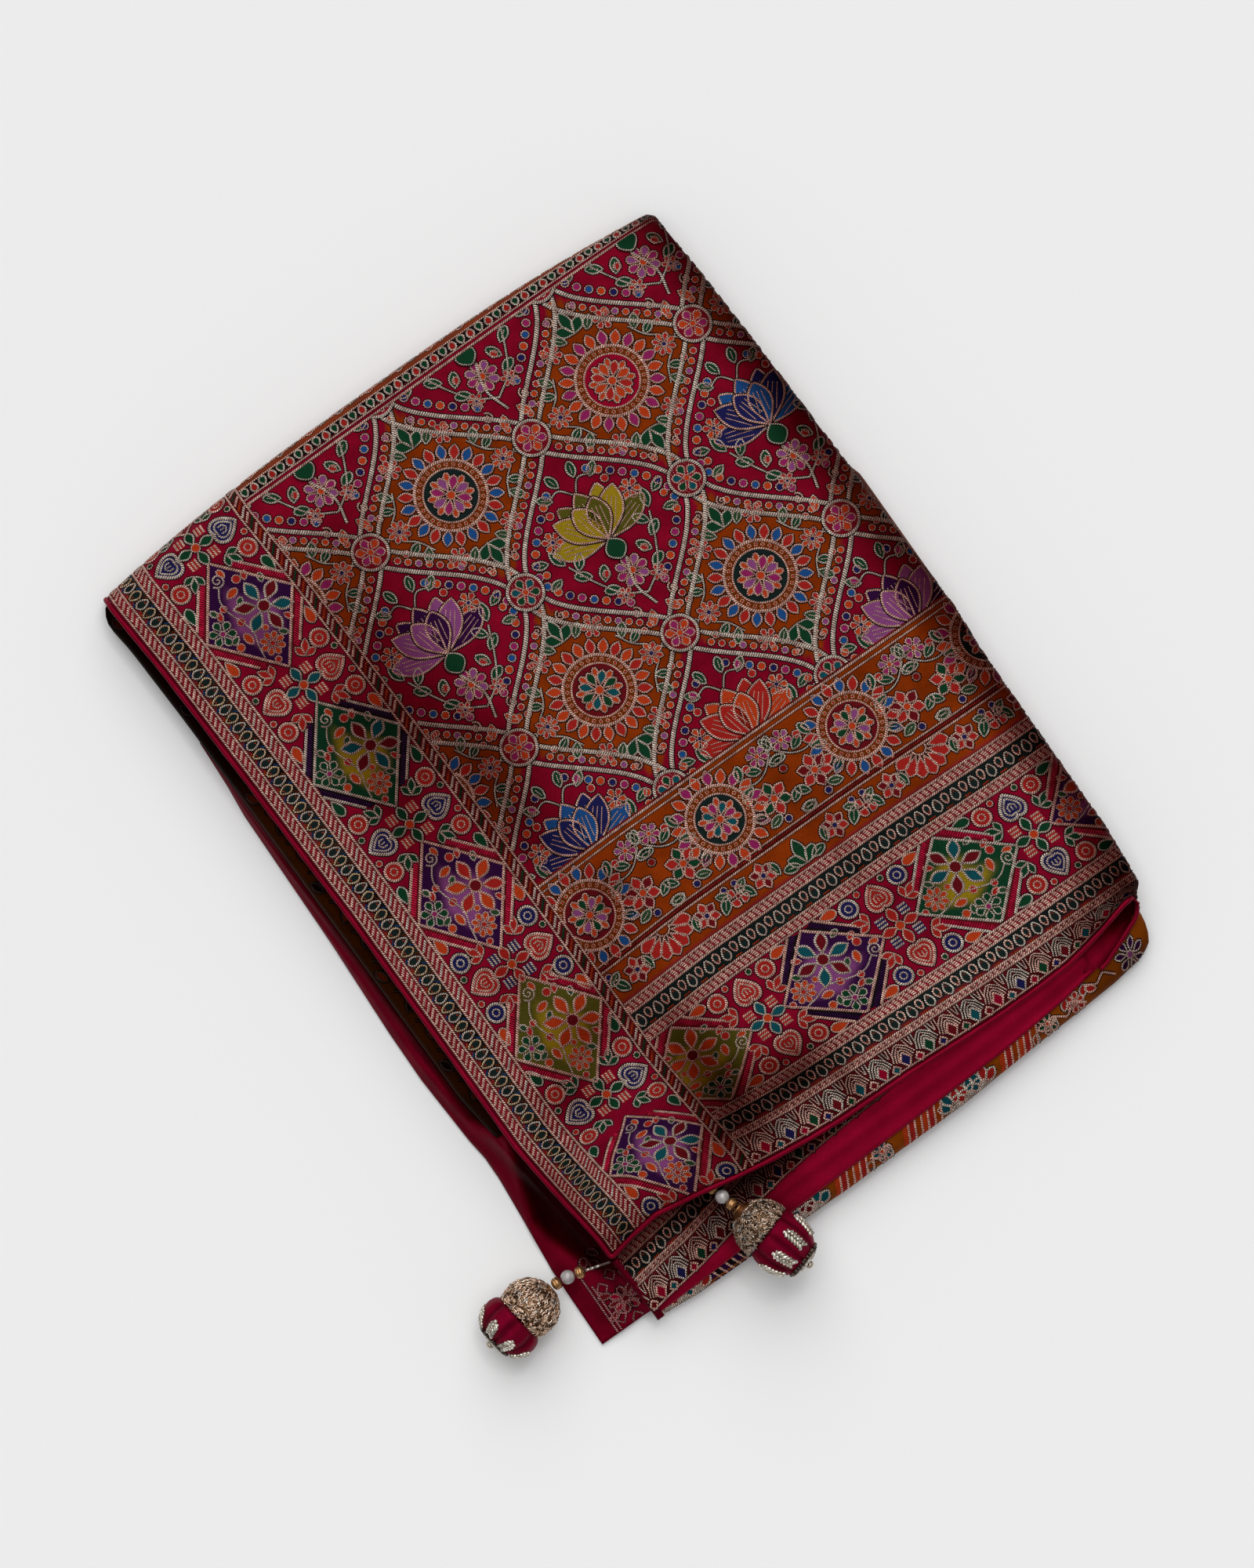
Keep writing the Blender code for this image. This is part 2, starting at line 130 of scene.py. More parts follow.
def add_lamp(name, bearing, tilt, spread, strength):
    """A distant lamp, its angles in degrees."""
    bearing, tilt = math.radians(bearing) + ROLL, math.radians(tilt)
    data = bpy.data.lights.new(name, "SUN")
    data.energy = strength
    data.angle = math.radians(spread)
    lamp = bpy.data.objects.new(name, data)
    away = (-math.cos(bearing) * math.sin(tilt), -math.sin(bearing) * math.sin(tilt), -math.cos(tilt))
    lamp.rotation_euler = Vector(away).to_track_quat("-Z", "Y").to_euler()
    bpy.context.scene.collection.objects.link(lamp)


def make_studio():
    scene = bpy.context.scene
    scene.view_settings.view_transform = "Standard"
    scene.world = bpy.data.worlds.new("studio")
    scene.world.use_nodes = True
    dome = scene.world.node_tree.nodes["Background"]
    dome.inputs["Color"].default_value = (1.0, 1.0, 1.0, 1.0)
    dome.inputs["Strength"].default_value = DOME_STRENGTH
    for lamp in LAMPS:
        add_lamp(*lamp)


def make_floor():
    mesh = bpy.data.meshes.new("floor")
    corners = [(x * FLOOR_HALF, y * FLOOR_HALF, 0) for x, y in ((-1, -1), (1, -1), (1, 1), (-1, 1))]
    mesh.from_pydata(corners, [], [(0, 1, 2, 3)])
    floor = bpy.data.objects.new("floor", mesh)
    bpy.context.scene.collection.objects.link(floor)
    material = bpy.data.materials.new("floor_paper")
    material.use_nodes = True
    shader = material.node_tree.nodes["Principled BSDF"]
    shader.inputs["Base Color"].default_value = FLOOR_SHADE
    shader.inputs["Roughness"].default_value = 0.9
    shader.inputs["Specular IOR Level"].default_value = 0.1
    mesh.materials.append(material)


make_studio()
make_floor()
print("lamps:", len(LAMPS))

# %% [markdown]
# A material here is a short recipe: a base colour painted on the mesh, a weave that breaks it up, and a
# small bump. The helper below only saves typing: it adds a node, sets its values and links its inputs.

# %% Node helper


class Recipe:
    """One material's node tree, with short calls to add and join nodes."""

    def __init__(self, name, roughness, metallic=0.0, specular=0.4, coat=0.0):
        self.material = bpy.data.materials.new(name)
        self.material.use_nodes = True
        self.tree = self.material.node_tree
        self.shader = self.tree.nodes["Principled BSDF"]
        self.shader.inputs["Roughness"].default_value = roughness
        self.shader.inputs["Metallic"].default_value = metallic
        self.shader.inputs["Specular IOR Level"].default_value = specular
        self.shader.inputs["Coat Weight"].default_value = coat

    def add(self, kind, inputs=(), out=0, **settings):
        """Adds a node and gives one of its outputs."""
        node = self.tree.nodes.new(kind)
        for key, value in settings.items():
            setattr(node, key, value)
        for label, value in dict(inputs).items():
            if hasattr(value, "node"):
                self.tree.links.new(value, node.inputs[label])
            else:
                node.inputs[label].default_value = value
        return node.outputs[out]

    def uv(self, name="cloth"):
        return self.add("ShaderNodeUVMap", uv_map=name)

    def place(self):
        return self.add("ShaderNodeTexCoord", out="Object")

    def scaled(self, vector, size):
        return self.add("ShaderNodeVectorMath", {0: vector, 1: size}, operation="MULTIPLY")

    def noise(self, vector, scale, detail=2.0):
        return self.add("ShaderNodeTexNoise", {"Vector": vector, "Scale": scale, "Detail": detail}, "Fac")

    def wave(self, vector, scale, distortion, direction):
        inputs = {"Vector": vector, "Scale": scale, "Distortion": distortion}
        return self.add("ShaderNodeTexWave", inputs, "Fac", bands_direction=direction)

    def maths(self, operation, a, b=0.0):
        return self.add("ShaderNodeMath", {0: a, 1: b}, operation=operation)

    def span(self, value, low, high, out_low, out_high):
        inputs = {"Value": value, "From Min": low, "From Max": high, "To Min": out_low, "To Max": out_high}
        return self.add("ShaderNodeMapRange", inputs)

    def mix(self, share, a, b, blend="MIX"):
        return self.add("ShaderNodeMix", {0: share, 6: a, 7: b}, 2, data_type="RGBA", blend_type=blend)

    def painted(self, *shades):
        """The mesh's paint, made lighter and darker by one shade, or by one for each primary."""
        red, green, blue = shades if len(shades) == 3 else shades * 3
        tone = self.add("ShaderNodeCombineColor", {0: red, 1: green, 2: blue})
        paint = self.add("ShaderNodeAttribute", out="Color", attribute_name="paint")
        return self.mix(1.0, paint, tone, "MULTIPLY")

    def finish(self, colour, bump, strength, depth, roughness=None):
        self.tree.links.new(colour, self.shader.inputs["Base Color"])
        if roughness is not None:
            self.tree.links.new(roughness, self.shader.inputs["Roughness"])
        normal = self.add("ShaderNodeBump", {"Height": bump, "Strength": strength, "Distance": depth})
        self.tree.links.new(normal, self.shader.inputs["Normal"])
        return self.material


print("recipes ready")

# %% [markdown]
# Silk first. Dola silk is a smooth, slightly crisp satin with a fine cross rib. Its colour is painted on
# the mesh, so one recipe serves every ground; the rib and a faint cloudiness come from the cloth's own
# map, whose unit is a millimetre. Zari is a metal thread twisted round silk, so its recipe follows a
# second map that runs along each strand.

# %% Silk grounds and threads


def silk(name, roughness=0.46, rib=1.35, rib_depth=0.35, cloud=0.22, gloss=0.35):
    """Satin with a fine rib across it; rib is in ribs for each millimetre."""
    r = Recipe(name, roughness, gloss, 0.0)
    uv = r.uv()
    ribs = r.wave(r.scaled(uv, (0.0, 1.0, 1.0)), rib, 0.6, "Y")
    ends = r.wave(r.scaled(uv, (1.0, 0.0, 1.0)), 1.1, 0.4, "X")
    clouds = r.noise(uv, 0.09, 4.0)
    specks = r.noise(r.scaled(uv, (3.0, 0.7, 1.0)), 0.9)
    shade = r.maths("MULTIPLY", r.span(clouds, 0.3, 0.7, 1.0 - cloud, 1.0 + cloud),
                    r.span(specks, 0.2, 0.8, 0.78, 1.22))
    shade = r.maths("MULTIPLY", shade, r.span(ribs, 0.0, 1.0, 1.0 - rib_depth, 1.08))
    rough = r.span(specks, 0.2, 0.8, roughness - 0.06, roughness + 0.1)
    height = r.maths("ADD", ribs, r.maths("MULTIPLY", ends, 0.4))
    return r.finish(r.painted(shade), height, 0.35, 0.00012, rough)


def zari(name):
    """Twisted zari thread: bright turns and dark gaps slant along each strand."""
    r = Recipe(name, 0.42, 0.62, 0.05)
    strand = r.uv("strand")
    along, side = r.add("ShaderNodeSeparateXYZ", {0: strand}).node.outputs[:2]
    slant = r.maths("ADD", r.maths("MULTIPLY", along, 1.02), r.maths("MULTIPLY", side, 0.28))
    turns = r.maths("SINE", r.maths("MULTIPLY", slant, 2 * math.pi))
    grains = r.noise(strand, 1.9, 3.0)
    worn = r.noise(r.uv(), 0.30, 3.0)
    shade = r.maths("MULTIPLY", r.span(turns, -1.0, 1.0, 0.28, 1.36), r.span(grains, 0.3, 0.7, 0.42, 1.60))
    shade = r.maths("MULTIPLY", shade, r.span(worn, 0.32, 0.68, 0.64, 1.28))
    cool = r.maths("POWER", shade, 1.22)
    return r.finish(r.painted(shade, cool, cool), r.maths("ADD", turns, grains), 0.6, 0.00025)


def float_silk(name):
    """Satin-stitch fills: silk floats that run one way, glossier than the ground."""
    r = Recipe(name, 0.44, 0.30, 0.0)
    strokes = r.noise(r.scaled(r.uv(), (0.5, 3.2, 1.0)), 1.0)
    return r.finish(r.painted(r.span(strokes, 0.25, 0.75, 0.72, 1.26)), strokes, 0.4, 0.00015)


SILK = silk("silk_ground")
ZARI = zari("zari_thread")
FLOATS = float_silk("silk_floats")
# A near-black line along both sides of each raised thread: partly the weave's dark outline, partly a painted
# shadow of the raised thread.
SHADOW = silk("dark_edge_and_painted_shadow", roughness=0.7, rib_depth=0.1, gloss=0.1)
print("materials:", [m.name for m in (SILK, ZARI, FLOATS, SHADOW)])

# %% [markdown]
# Colours are named once, as the dyer would. They are dark, because the cloth is deep-dyed silk under a
# modest light; the zari is a dusty cream, in a rosy, a greyer and a gilt batch.

# %% Dyes
CRIMSON = (0.168, 0.0022, 0.0130)
ROSE = (0.172, 0.0024, 0.015)
DEEP_RED = (0.075, 0.004, 0.006)
MUSTARD = (0.180, 0.024, 0.0020)
OCHRE = (0.090, 0.014, 0.0015)
PURPLE = (0.018, 0.0032, 0.024)
LILAC = (0.140, 0.035, 0.115)
GREEN = (0.004, 0.026, 0.011)
LEAF = (0.012, 0.034, 0.014)
TEAL = (0.004, 0.042, 0.052)
BLUE = (0.008, 0.040, 0.130)
NAVY = (0.008, 0.008, 0.045)
ORANGE = (0.270, 0.026, 0.006)
SCARLET = (0.210, 0.010, 0.008)
YELLOW = (0.180, 0.120, 0.006)
OLIVE = (0.050, 0.045, 0.006)
MAGENTA = (0.160, 0.010, 0.060)
CREAM = (0.500, 0.290, 0.235)
ASH = (0.430, 0.345, 0.290)
GILT = (0.450, 0.310, 0.190)
DARK = (0.006, 0.0035, 0.004)
INK = (0.006, 0.011, 0.010)
RUNG = (0.165, 0.0085, 0.0145)
REVERSE = (0.225, 0.0022, 0.0190)
BRIGHT_ROSE = (0.300, 0.0050, 0.0260)
BUNDLE_MUSTARD = (0.172, 0.036, 0.0018)
LADDER_CREAM = (0.400, 0.212, 0.172)
print("zari batches:", CREAM, ASH, GILT)

# %% [markdown]
# Every cloth here is a surface that turns flat places, so many millimetres across the cloth and so many
# along it, into points in space. The saree was woven flat, so its pattern is drawn flat too, and each
# thread then follows the folds as it does in the real cloth.

# %% Cloth surfaces
CLOTH_THICKNESS = 0.75
# Powers on red, green and blue of the painted shade: deep painted shade keeps more red, as light bounced
# between red silk would.
PAINTED_SHADE_TINT = np.array((0.86, 1.16, 1.20))


class Cloth:
    """A cloth's outer face: surface turns (across, along) rows into (x, y, z) rows, in millimetres."""

    def __init__(self, surface, shade):
        self.surface = surface
        self.shade = shade

    def shaded(self, paint, points):
        """Painted shade: paint laid on darker, and a little redder, where the cloth lies in the depth of a
        fold.
        """
        return paint * self.shade(points[:, 0], points[:, 1])[:, None] ** PAINTED_SHADE_TINT

    def normals(self, flat, step=0.5):
        over, up = np.array((step, 0.0)), np.array((0.0, step))
        across = self.surface(flat + over) - self.surface(flat - over)
        along = self.surface(flat + up) - self.surface(flat - up)
        return unit_rows(np.cross(across, along))

    def place(self, flat, height):
        """Points raised by height off the outer face."""
        return self.surface(flat) + self.normals(flat) * height[:, None]


def make_mesh(name, points, quads, triangles, materials, paint, marks=None, **maps):
    """A mesh object from millimetre points; marks gives each face's material, quads first."""
    blocks = [np.asarray(block, np.int32) for block in (quads, triangles) if len(block)]
    loops = np.concatenate([block.ravel() for block in blocks])
    sizes = np.concatenate([np.full(len(block), block.shape[1], np.int32) for block in blocks])
    mesh = bpy.data.meshes.new(name)
    mesh.vertices.add(len(points))
    mesh.vertices.foreach_set("co", metres(points).astype(np.float32).ravel())
    mesh.loops.add(len(loops))
    mesh.loops.foreach_set("vertex_index", loops)
    mesh.polygons.add(len(sizes))
    mesh.polygons.foreach_set("loop_start", (np.cumsum(sizes) - sizes).astype(np.int32))
    mesh.update(calc_edges=True)
    for label, values in maps.items():
        layer = mesh.uv_layers.new(name=label)
        layer.data.foreach_set("uv", np.asarray(values, np.float32)[loops].ravel())
    layer = mesh.color_attributes.new("paint", "FLOAT_COLOR", "POINT")
    rgba = np.ones((len(points), 4), np.float32)
    rgba[:, :3] = paint
    layer.data.foreach_set("color", rgba.ravel())
    for material in materials:
        mesh.materials.append(material)
    if marks is not None:
        mesh.polygons.foreach_set("material_index", np.asarray(marks, np.int32))
    mesh.shade_smooth()
    piece = bpy.data.objects.new(name, mesh)
    bpy.context.scene.collection.objects.link(piece)
    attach(piece, BODY)
    print(name, "triangles:", int(np.sum(sizes - 2)))
    return piece


def dress(piece, slot, *nodes):
    """Hides the construction's nodes that a piece stands for; the piece and the slot are not used."""
    if nodes:
        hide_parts(*nodes)


def faces(*corners):
    """Faces from one array of point numbers for each corner."""
    return columns(*(np.ravel(corner) for corner in corners))


def wall_faces(rows, wide):
    """Quads of a closed wall: front, back and four rims, for two stacked grids of points."""
    index = np.arange(rows * wide).reshape(rows, wide)
    back = index + rows * wide
    return np.vstack([
        faces(index[:-1, :-1], index[:-1, 1:], index[1:, 1:], index[1:, :-1]),
        faces(back[:-1, :-1], back[1:, :-1], back[1:, 1:], back[:-1, 1:]),
        faces(index[:-1, 0], index[1:, 0], back[1:, 0], back[:-1, 0]),
        faces(index[:-1, -1], back[:-1, -1], back[1:, -1], index[1:, -1]),
        faces(index[0, :-1], back[0, :-1], back[0, 1:], index[0, 1:]),
        faces(index[-1, :-1], index[-1, 1:], back[-1, 1:], back[-1, :-1]),
    ])


def ring_faces(rows, sides, clockwise=False):
    """Quads between stacked rings of points, and triangles to the two poles numbered after them."""
    index = np.arange(rows * sides).reshape(rows, sides)
    ahead = np.roll(index, -1, axis=1)
    pole = np.full(sides, rows * sides)
    quads = faces(index[:-1], ahead[:-1], ahead[1:], index[1:])
    triangles = np.vstack([columns(pole, ahead[0], index[0]), columns(pole + 1, index[-1], ahead[-1])])
    return (quads[:, [0, 3, 2, 1]], triangles[:, [0, 2, 1]]) if clockwise else (quads, triangles)


def cloth_piece(name, cloth, across, along, ground, reverse, satin=SILK):
    """A cloth as a thin closed wall over a grid of flat places: its face painted, its reverse one dye, both
    darkened by the cloth's painted shade.
    """
    flat = faces(across, along)
    front = cloth.surface(flat)
    back = front - CLOTH_THICKNESS * cloth.normals(flat)
    paint = np.vstack([cloth.shaded(ground(flat), front),
                       cloth.shaded(np.tile(reverse, (len(flat), 1)), back)])
    return make_mesh(name, np.vstack([front, back]), wall_faces(*across.shape), [], [satin], paint,
                     cloth=np.vstack([flat, flat]))


print("cloth thickness:", CLOTH_THICKNESS, "mm")

# %% [markdown]
# These outlines repeat the construction's own: where the pallu's selvedge, fold and hem run, how high the
# bundle stands, and how it slopes. Each is a short table that is read between its rows.

# %% The pallu's outlines
CROWN_HEIGHT = 30.2
HEM_LINE = -171.7
FRINGE_DEPTH = 13.4
SIDE_IN = 2.2
HEM_IN = -2.0
NOSE_RADIUS = 3.6
FAR_RADIUS = 12.0
FAR_SECTION = 186.6
FAR_DROP_TO = 2.6
RETURN_REACH = 34.0
WALL = 1.2
TUCK_DEPTH = 1.8
BAND_FLOOR = 4.8
SELVEDGE = ((-164, -130.0), (-140, -132.4), (-98, -135.6), (-34, -136.0), (19, -136.4),
            (94, -138.6), (150, -140.6), (192, -143.4))
FOLD = ((-172, 139.5), (-161, 144.5), (-134, 146.7), (-40, 147.0), (-20, 148.6),
        (46, 147.0), (106, 145.2), (150, 143.4), (190, 141.0))
HEM = ((-132, -161.5), (-118, -158.5), (-104.7, -157.0), (-83, -160.4), (-67, -164.0), (-50, -166.7),
       (-33, -168.7), (-17, -170.0), (17, -170.7), (50, -172.4), (67, -173.0), (83, -173.0),
       (100, -172.4), (110, -170.7), (120, -168.7), (133, -165.4), (141, -164.6))
LADDER_FOOT = ((-132, -148.1), (-104.7, -143.6), (-83, -147.0), (-67, -150.6), (-50, -153.3),
               (-33, -155.3), (0, -157.0), (33, -158.3), (67, -159.7), (100, -160.3), (141, -160.8))
NOSE_HEM = ((100, -183.2), (113, -181.6), (120, -178.8), (127, -176.0), (134, -173.2), (141, -167.0))
BAND_HEM = ((-131, -194.0), (-83, -192.2), (-27, -190.6), (20, -189.2), (55, -188.0),
            (90, -185.2), (113, -181.6))
TUCK_HEM = ((-130, -192.8), (-117, -190.6), (-100, -188.2), (-83, -184.6), (-67, -180.6), (-50, -177.8),
            (-33, -176.2), (-17, -175.0), (0, -174.2), (14, -173.0))
BODY_LEFT = ((-198, -130.5), (-130, -137.4), (-70, -144.6), (20, -145.4), (90, -146.2), (131, -147.0),
             (167, -148.3), (180, -149.8), (192, -147.8))
BODY_RIGHT = ((-198, 136.4), (-175, 137.8), (-100, 141.6), (-31, 145.4), (-27, 148.8), (48, 149.0),
              (58, 146.0), (106, 144.4), (180, 141.5), (192, 139.5))
BODY_NEAR = ((-131, -195.0), (-110, -196.8), (-30, -197.4), (30, -196.6), (67, -194.2), (90, -193.2),
             (112, -192.0), (127, -189.8), (134, -186.6), (140, -180.0))
BLOUSE_OUTER = ((-191, -156.3), (-153, -155.5), (-128, -153.0), (-108, -151.2), (-97, -151.0), (-87, -152.2),
                (-54, -153.8), (-30, -153.4), (17, -151.3), (82, -150.0), (96, -148.6), (118, -147.4))


def read(table, at):
    """Value at a place along a two-column outline."""
    places, values = zip(*table)
    return np.interp(at, places, values)


def ramp(low, high, value):
    """Smooth rise from 0 at low to 1 at high."""
    share = np.clip((np.asarray(value, float) - low) / (high - low), 0.0, 1.0)
    return share * share * (3.0 - 2.0 * share)


def bell(x, y, place, reach_x, reach_y):
    return np.exp(-0.5 * (((x - place[0]) / reach_x) ** 2 + ((y - place[1]) / reach_y) ** 2))


def far_edge(x):
    return 198.6 - 7.6 * np.abs((x + 5.0) / 142.0) ** 2.5


def crown(x, y):
    """Height of the pallu's outer face, before its hem is lifted."""
    z = CROWN_HEIGHT - 2.6 * (x / 150.0) ** 2 - 1.6 * (y / 200.0) ** 2
    z = z - 10.5 * np.clip((-120.0 - y) / 75.0, 0.0, None) ** 2
    left = ramp(95.0, 142.0, -x)
    z = z - 2.0 * left - 1.5 * left * ramp(115.0, 165.0, -y)
    z = z - 2.2 * ramp(118.0, 150.0, x)
    return z - 3.4 * bell(x, y, (-71.5, -182.0), 13.0, 13.0)


def band_depth(x):
    return BAND_FLOOR + (2 * NOSE_RADIUS - BAND_FLOOR) * ramp(60.0, 108.0, x)


print("crown at the middle:", round(float(crown(0.0, 0.0)), 1), "mm")

# %% [markdown]
# Folded silk is never quite flat. It keeps soft valleys where it was pressed, and a sharper one where the
# lifted hem pulls. They could be simulated, but pressed folds sit where the folding left them, so each is
# listed as a valley or ridge along a short line, with its own width and height.

# %% Creases
CREASES = (
    # start (x, y), end (x, y), width, height
    ((-20, -136), (-110, -161), 3.6, -1.5),
    ((-14, -143), (-90, -163), 4.5, 1.1),
    ((-58, -98), (-52, -164), 5.5, -1.6),
    ((-9, -90), (-14, -172), 7.0, -0.75),
    ((20, -96), (27, -172), 6.0, 0.55),
    ((60, -98), (56, -172), 7.5, -0.65),
    ((101, -100), (97, -172), 7.0, -0.60),
    ((124, -92), (122, -172), 5.0, 0.40),
    ((-70, 150), (-60, -10), 9.0, -1.1),
    ((-136, -88), (-80, -78), 4.5, -1.1),
    ((-138, -76), (-96, -80), 4.5, 0.45),
    ((-48, 188), (-40, 40), 13.0, 0.30),
    ((38, 188), (30, 20), 15.0, -0.32),
    ((104, 180), (110, -10), 12.0, 0.28),
    ((133, 196), (142, 168), 3.2, -0.95),
    ((126, 192), (136, 160), 3.5, 0.55),
    ((139, -26), (150, -31), 3.4, -1.0),
    ((120, 78), (148, 66), 6.0, -0.40),
    ((-130, 120), (-90, 112), 8.0, 0.30),
    ((-20, -60), (70, -66), 7.0, -0.30),
)


def along_line(x, y, start, end):
    """How far along a line each place lies, 0 to 1 between its ends, and how far off it."""
    start = np.array(start, float)
    run = np.array(end, float) - start
    share = ((x - start[0]) * run[0] + (y - start[1]) * run[1]) / (run @ run)
    inside = np.clip(share, 0.0, 1.0)
    return share, np.hypot(x - start[0] - inside * run[0], y - start[1] - inside * run[1])


def creases(x, y):
    """Height of all creases at a place."""
    total = np.zeros(np.shape(x))
    for start, end, width, height in CREASES:
        share, off = along_line(x, y, start, end)
        taper = ramp(-0.12, 0.22, share) * ramp(-0.12, 0.22, 1.0 - share)
        total = total + height * taper * np.exp(-0.5 * (off / width) ** 2)
    return total


print("creases:", len(CREASES))

# %% [markdown]
# Light hardly reaches the bottom of a fold in dark silk, less than a soft studio's render shows. So the
# folds' depth is laid into the cloth's colour as painted shade, place by place, in stops: one stop halves
# what comes back. It goes with the cloth, not with the camera, so it stays right from every side.

# %% Painted shade in the folds
PAINTED_SHADE_SPOTS = (
    # place (x, y), reach (x, y), stops of painted shade (below 0, painted light)
    ((-52, -127), (10.0, 22), 2.6), ((-66, -150), (12, 7), 0.9), ((-20, -141), (10, 8), 1.3),
    ((-30, -147.5), (17, 3.4), 1.4), ((-6, -160), (3.2, 6.0), 1.0),
    ((-112, -160), (20, 6.5), 1.4), ((-139, -140), (8, 19), 1.0), ((-84, 78), (15, 18), 1.2),
    ((-62, 62), (15, 40), 0.9), ((-60, 118), (13, 17), 0.7), ((-56, 14), (9, 16), 0.9),
    ((-95, 40), (10, 20), 0.9), ((-85, -78), (14, 9), 1.1), ((-104, -96), (10, 9), 0.9),
    ((-60, -58), (10, 14), 0.7), ((50, -80), (4, 26), 0.3), ((70, -112), (12, 8), 0.3),
    ((134, -162), (11, 8), 1.2), ((130, -171.2), (10, 3.0), 3.4), ((112, -164), (7, 5), 0.8),
    ((129, -149), (8, 10), 0.9), ((136, 186), (9, 9), 0.5), ((-46, 150), (14, 12), 0.5),
    ((-46, 44), (11, 14), 0.8), ((-40, -34), (7, 9), 0.8), ((-98, 136), (8, 16), 0.7),
    ((-96, -44), (8, 12), 0.6), ((-78, -168), (12, 5), 1.1), ((62, -150), (40, 8), -0.40),
    ((-36, -138), (20, 6), 0.6), ((141, 130), (6, 40), 0.4),
)


def tuck_shade(x, y):
    """Painted shadow: the tucked stretch is painted darker where the hem hangs over it."""
    stops = 2.4 * ramp(-16.0, -2.0, y - read(HEM, x)) + 1.6 * bell(x, y, (-58.0, -171.0), 15.0, 4.0)
    return 2.0 ** -(stops + 1.3 * bell(x, y, (-84.0, -178.0), 13.0, 11.0))


def opening_shade(x, y):
    """Painted shade: the opening on the left is painted almost black; the near strip is painted a little
    darker towards its right end.
    """
    stops = read(((-110, 5.0), (-80, 3.6), (-40, 3.0), (80, 2.8), (100, 5.0), (180, 5.2)), y)
    end = 0.9 * ramp(96.0, 124.0, x) * ramp(180.0, 190.0, -y)
    return 2.0 ** -(stops * ramp(-190.0, -165.0, y) * ramp(130.0, 136.0, -x) + end)


def blouse_shade(x, y):
    """Painted shade: the blouse end is painted darker towards the pallu, from a slanting fold on."""
    fold = read(((-176, -131), (-162, -142), (-140, -149.5), (-131, -150.5), (-94, -138.5), (-80, -147.2),
                 (60, -147.6), (118, -146.8)), y)
    return 2.0 ** -(3.6 * ramp(-1.5, 4.0, x - fold) * ramp(-180.0, -158.0, y))


def fold_shade(x, y):
    """Painted shade: how much light a place is painted to keep, 1 on the open cloth, less in the folds and
    towards the right edge.
    """
    stops = 2.5 * ramp(125.0, 147.0, x)
    for place, (reach_x, reach_y), depth in PAINTED_SHADE_SPOTS:
        stops = stops + depth * bell(x, y, place, reach_x, reach_y)
    return 2.0 ** -stops


print("deep places:", len(PAINTED_SHADE_SPOTS))

# %% [markdown]
# The pallu lies on top, turns round a tight nose along its right side and comes back underneath; at the
# far end it rolls over and drops to the floor. Its map starts at the selvedge, on the left, and at the hem.
# Distances past the fold are measured round the curve, so the pattern neither stretches nor jumps there.

# %% The pallu's surface


def pallu_surface(flat):
    u, v = flat[:, 0] - SIDE_IN, flat[:, 1] - HEM_IN
    y = v + HEM_LINE
    side_y = np.minimum(y, FAR_SECTION)
    left = read(SELVEDGE, side_y)
    nose = read(FOLD, side_y) - NOSE_RADIUS
    width = nose - left
    turn = np.clip((u - width) / NOSE_RADIUS, 0.0, np.pi)
    back = np.clip(u - width - np.pi * NOSE_RADIUS, 0.0, None)
    x = left + np.minimum(u, width) + NOSE_RADIUS * np.sin(turn) - back
    depth = NOSE_RADIUS * (1.0 - np.cos(turn))
    share = np.clip(turn / (0.5 * np.pi), 0.0, 1.0)
    hem = np.where(turn < 0.5 * np.pi, read(HEM, x) * (1 - share) - 166.0 * share, read(NOSE_HEM, x))
    foot = read(LADDER_FOOT, x) * (1 - share) - 160.8 * share
    fringe = hem + v / FRINGE_DEPTH * (foot - hem)
    droop = 1.8 * ramp(60.0, 140.0, x) + 2.0 * ramp(15.0, 70.0, -x)
    y = y + (1.0 - ramp(FRINGE_DEPTH, 70.0, v)) * (foot - HEM_LINE - FRINGE_DEPTH)
    y = np.where(v < FRINGE_DEPTH, fringe, y - droop * ramp(20.0, 70.0, v) * (1.0 - ramp(100.0, 200.0, v)))
    edge = far_edge(x)
    start = edge - FAR_RADIUS
    over = np.clip(y - start, 0.0, None)
    roll = np.clip(over / FAR_RADIUS, 0.0, 0.5 * np.pi)
    drop = np.clip(over - 0.5 * np.pi * FAR_RADIUS, 0.0, None)
    top = crown(x, np.minimum(y, start)) + creases(x, np.minimum(y, start + 4.0)) * (1.0 - share)
    top = top + 5.6 * bell(x, y, (-80.0, -165.0), 24.0, 13.0) * (turn == 0.0)
    radius = FAR_RADIUS - depth
    z = np.where(over > 0, top - FAR_RADIUS + radius * np.cos(roll), top - depth)
    z = np.maximum(z - drop, FAR_DROP_TO)
    y = np.where(over > 0, start + radius * np.sin(roll), y)
    return columns(x, y, z)


def pallu_width(v):
    """Across distance from the selvedge to the start of the nose."""
    side_y = np.minimum(v - HEM_IN + HEM_LINE, FAR_SECTION)
    return read(FOLD, side_y) - NOSE_RADIUS - read(SELVEDGE, side_y) + SIDE_IN


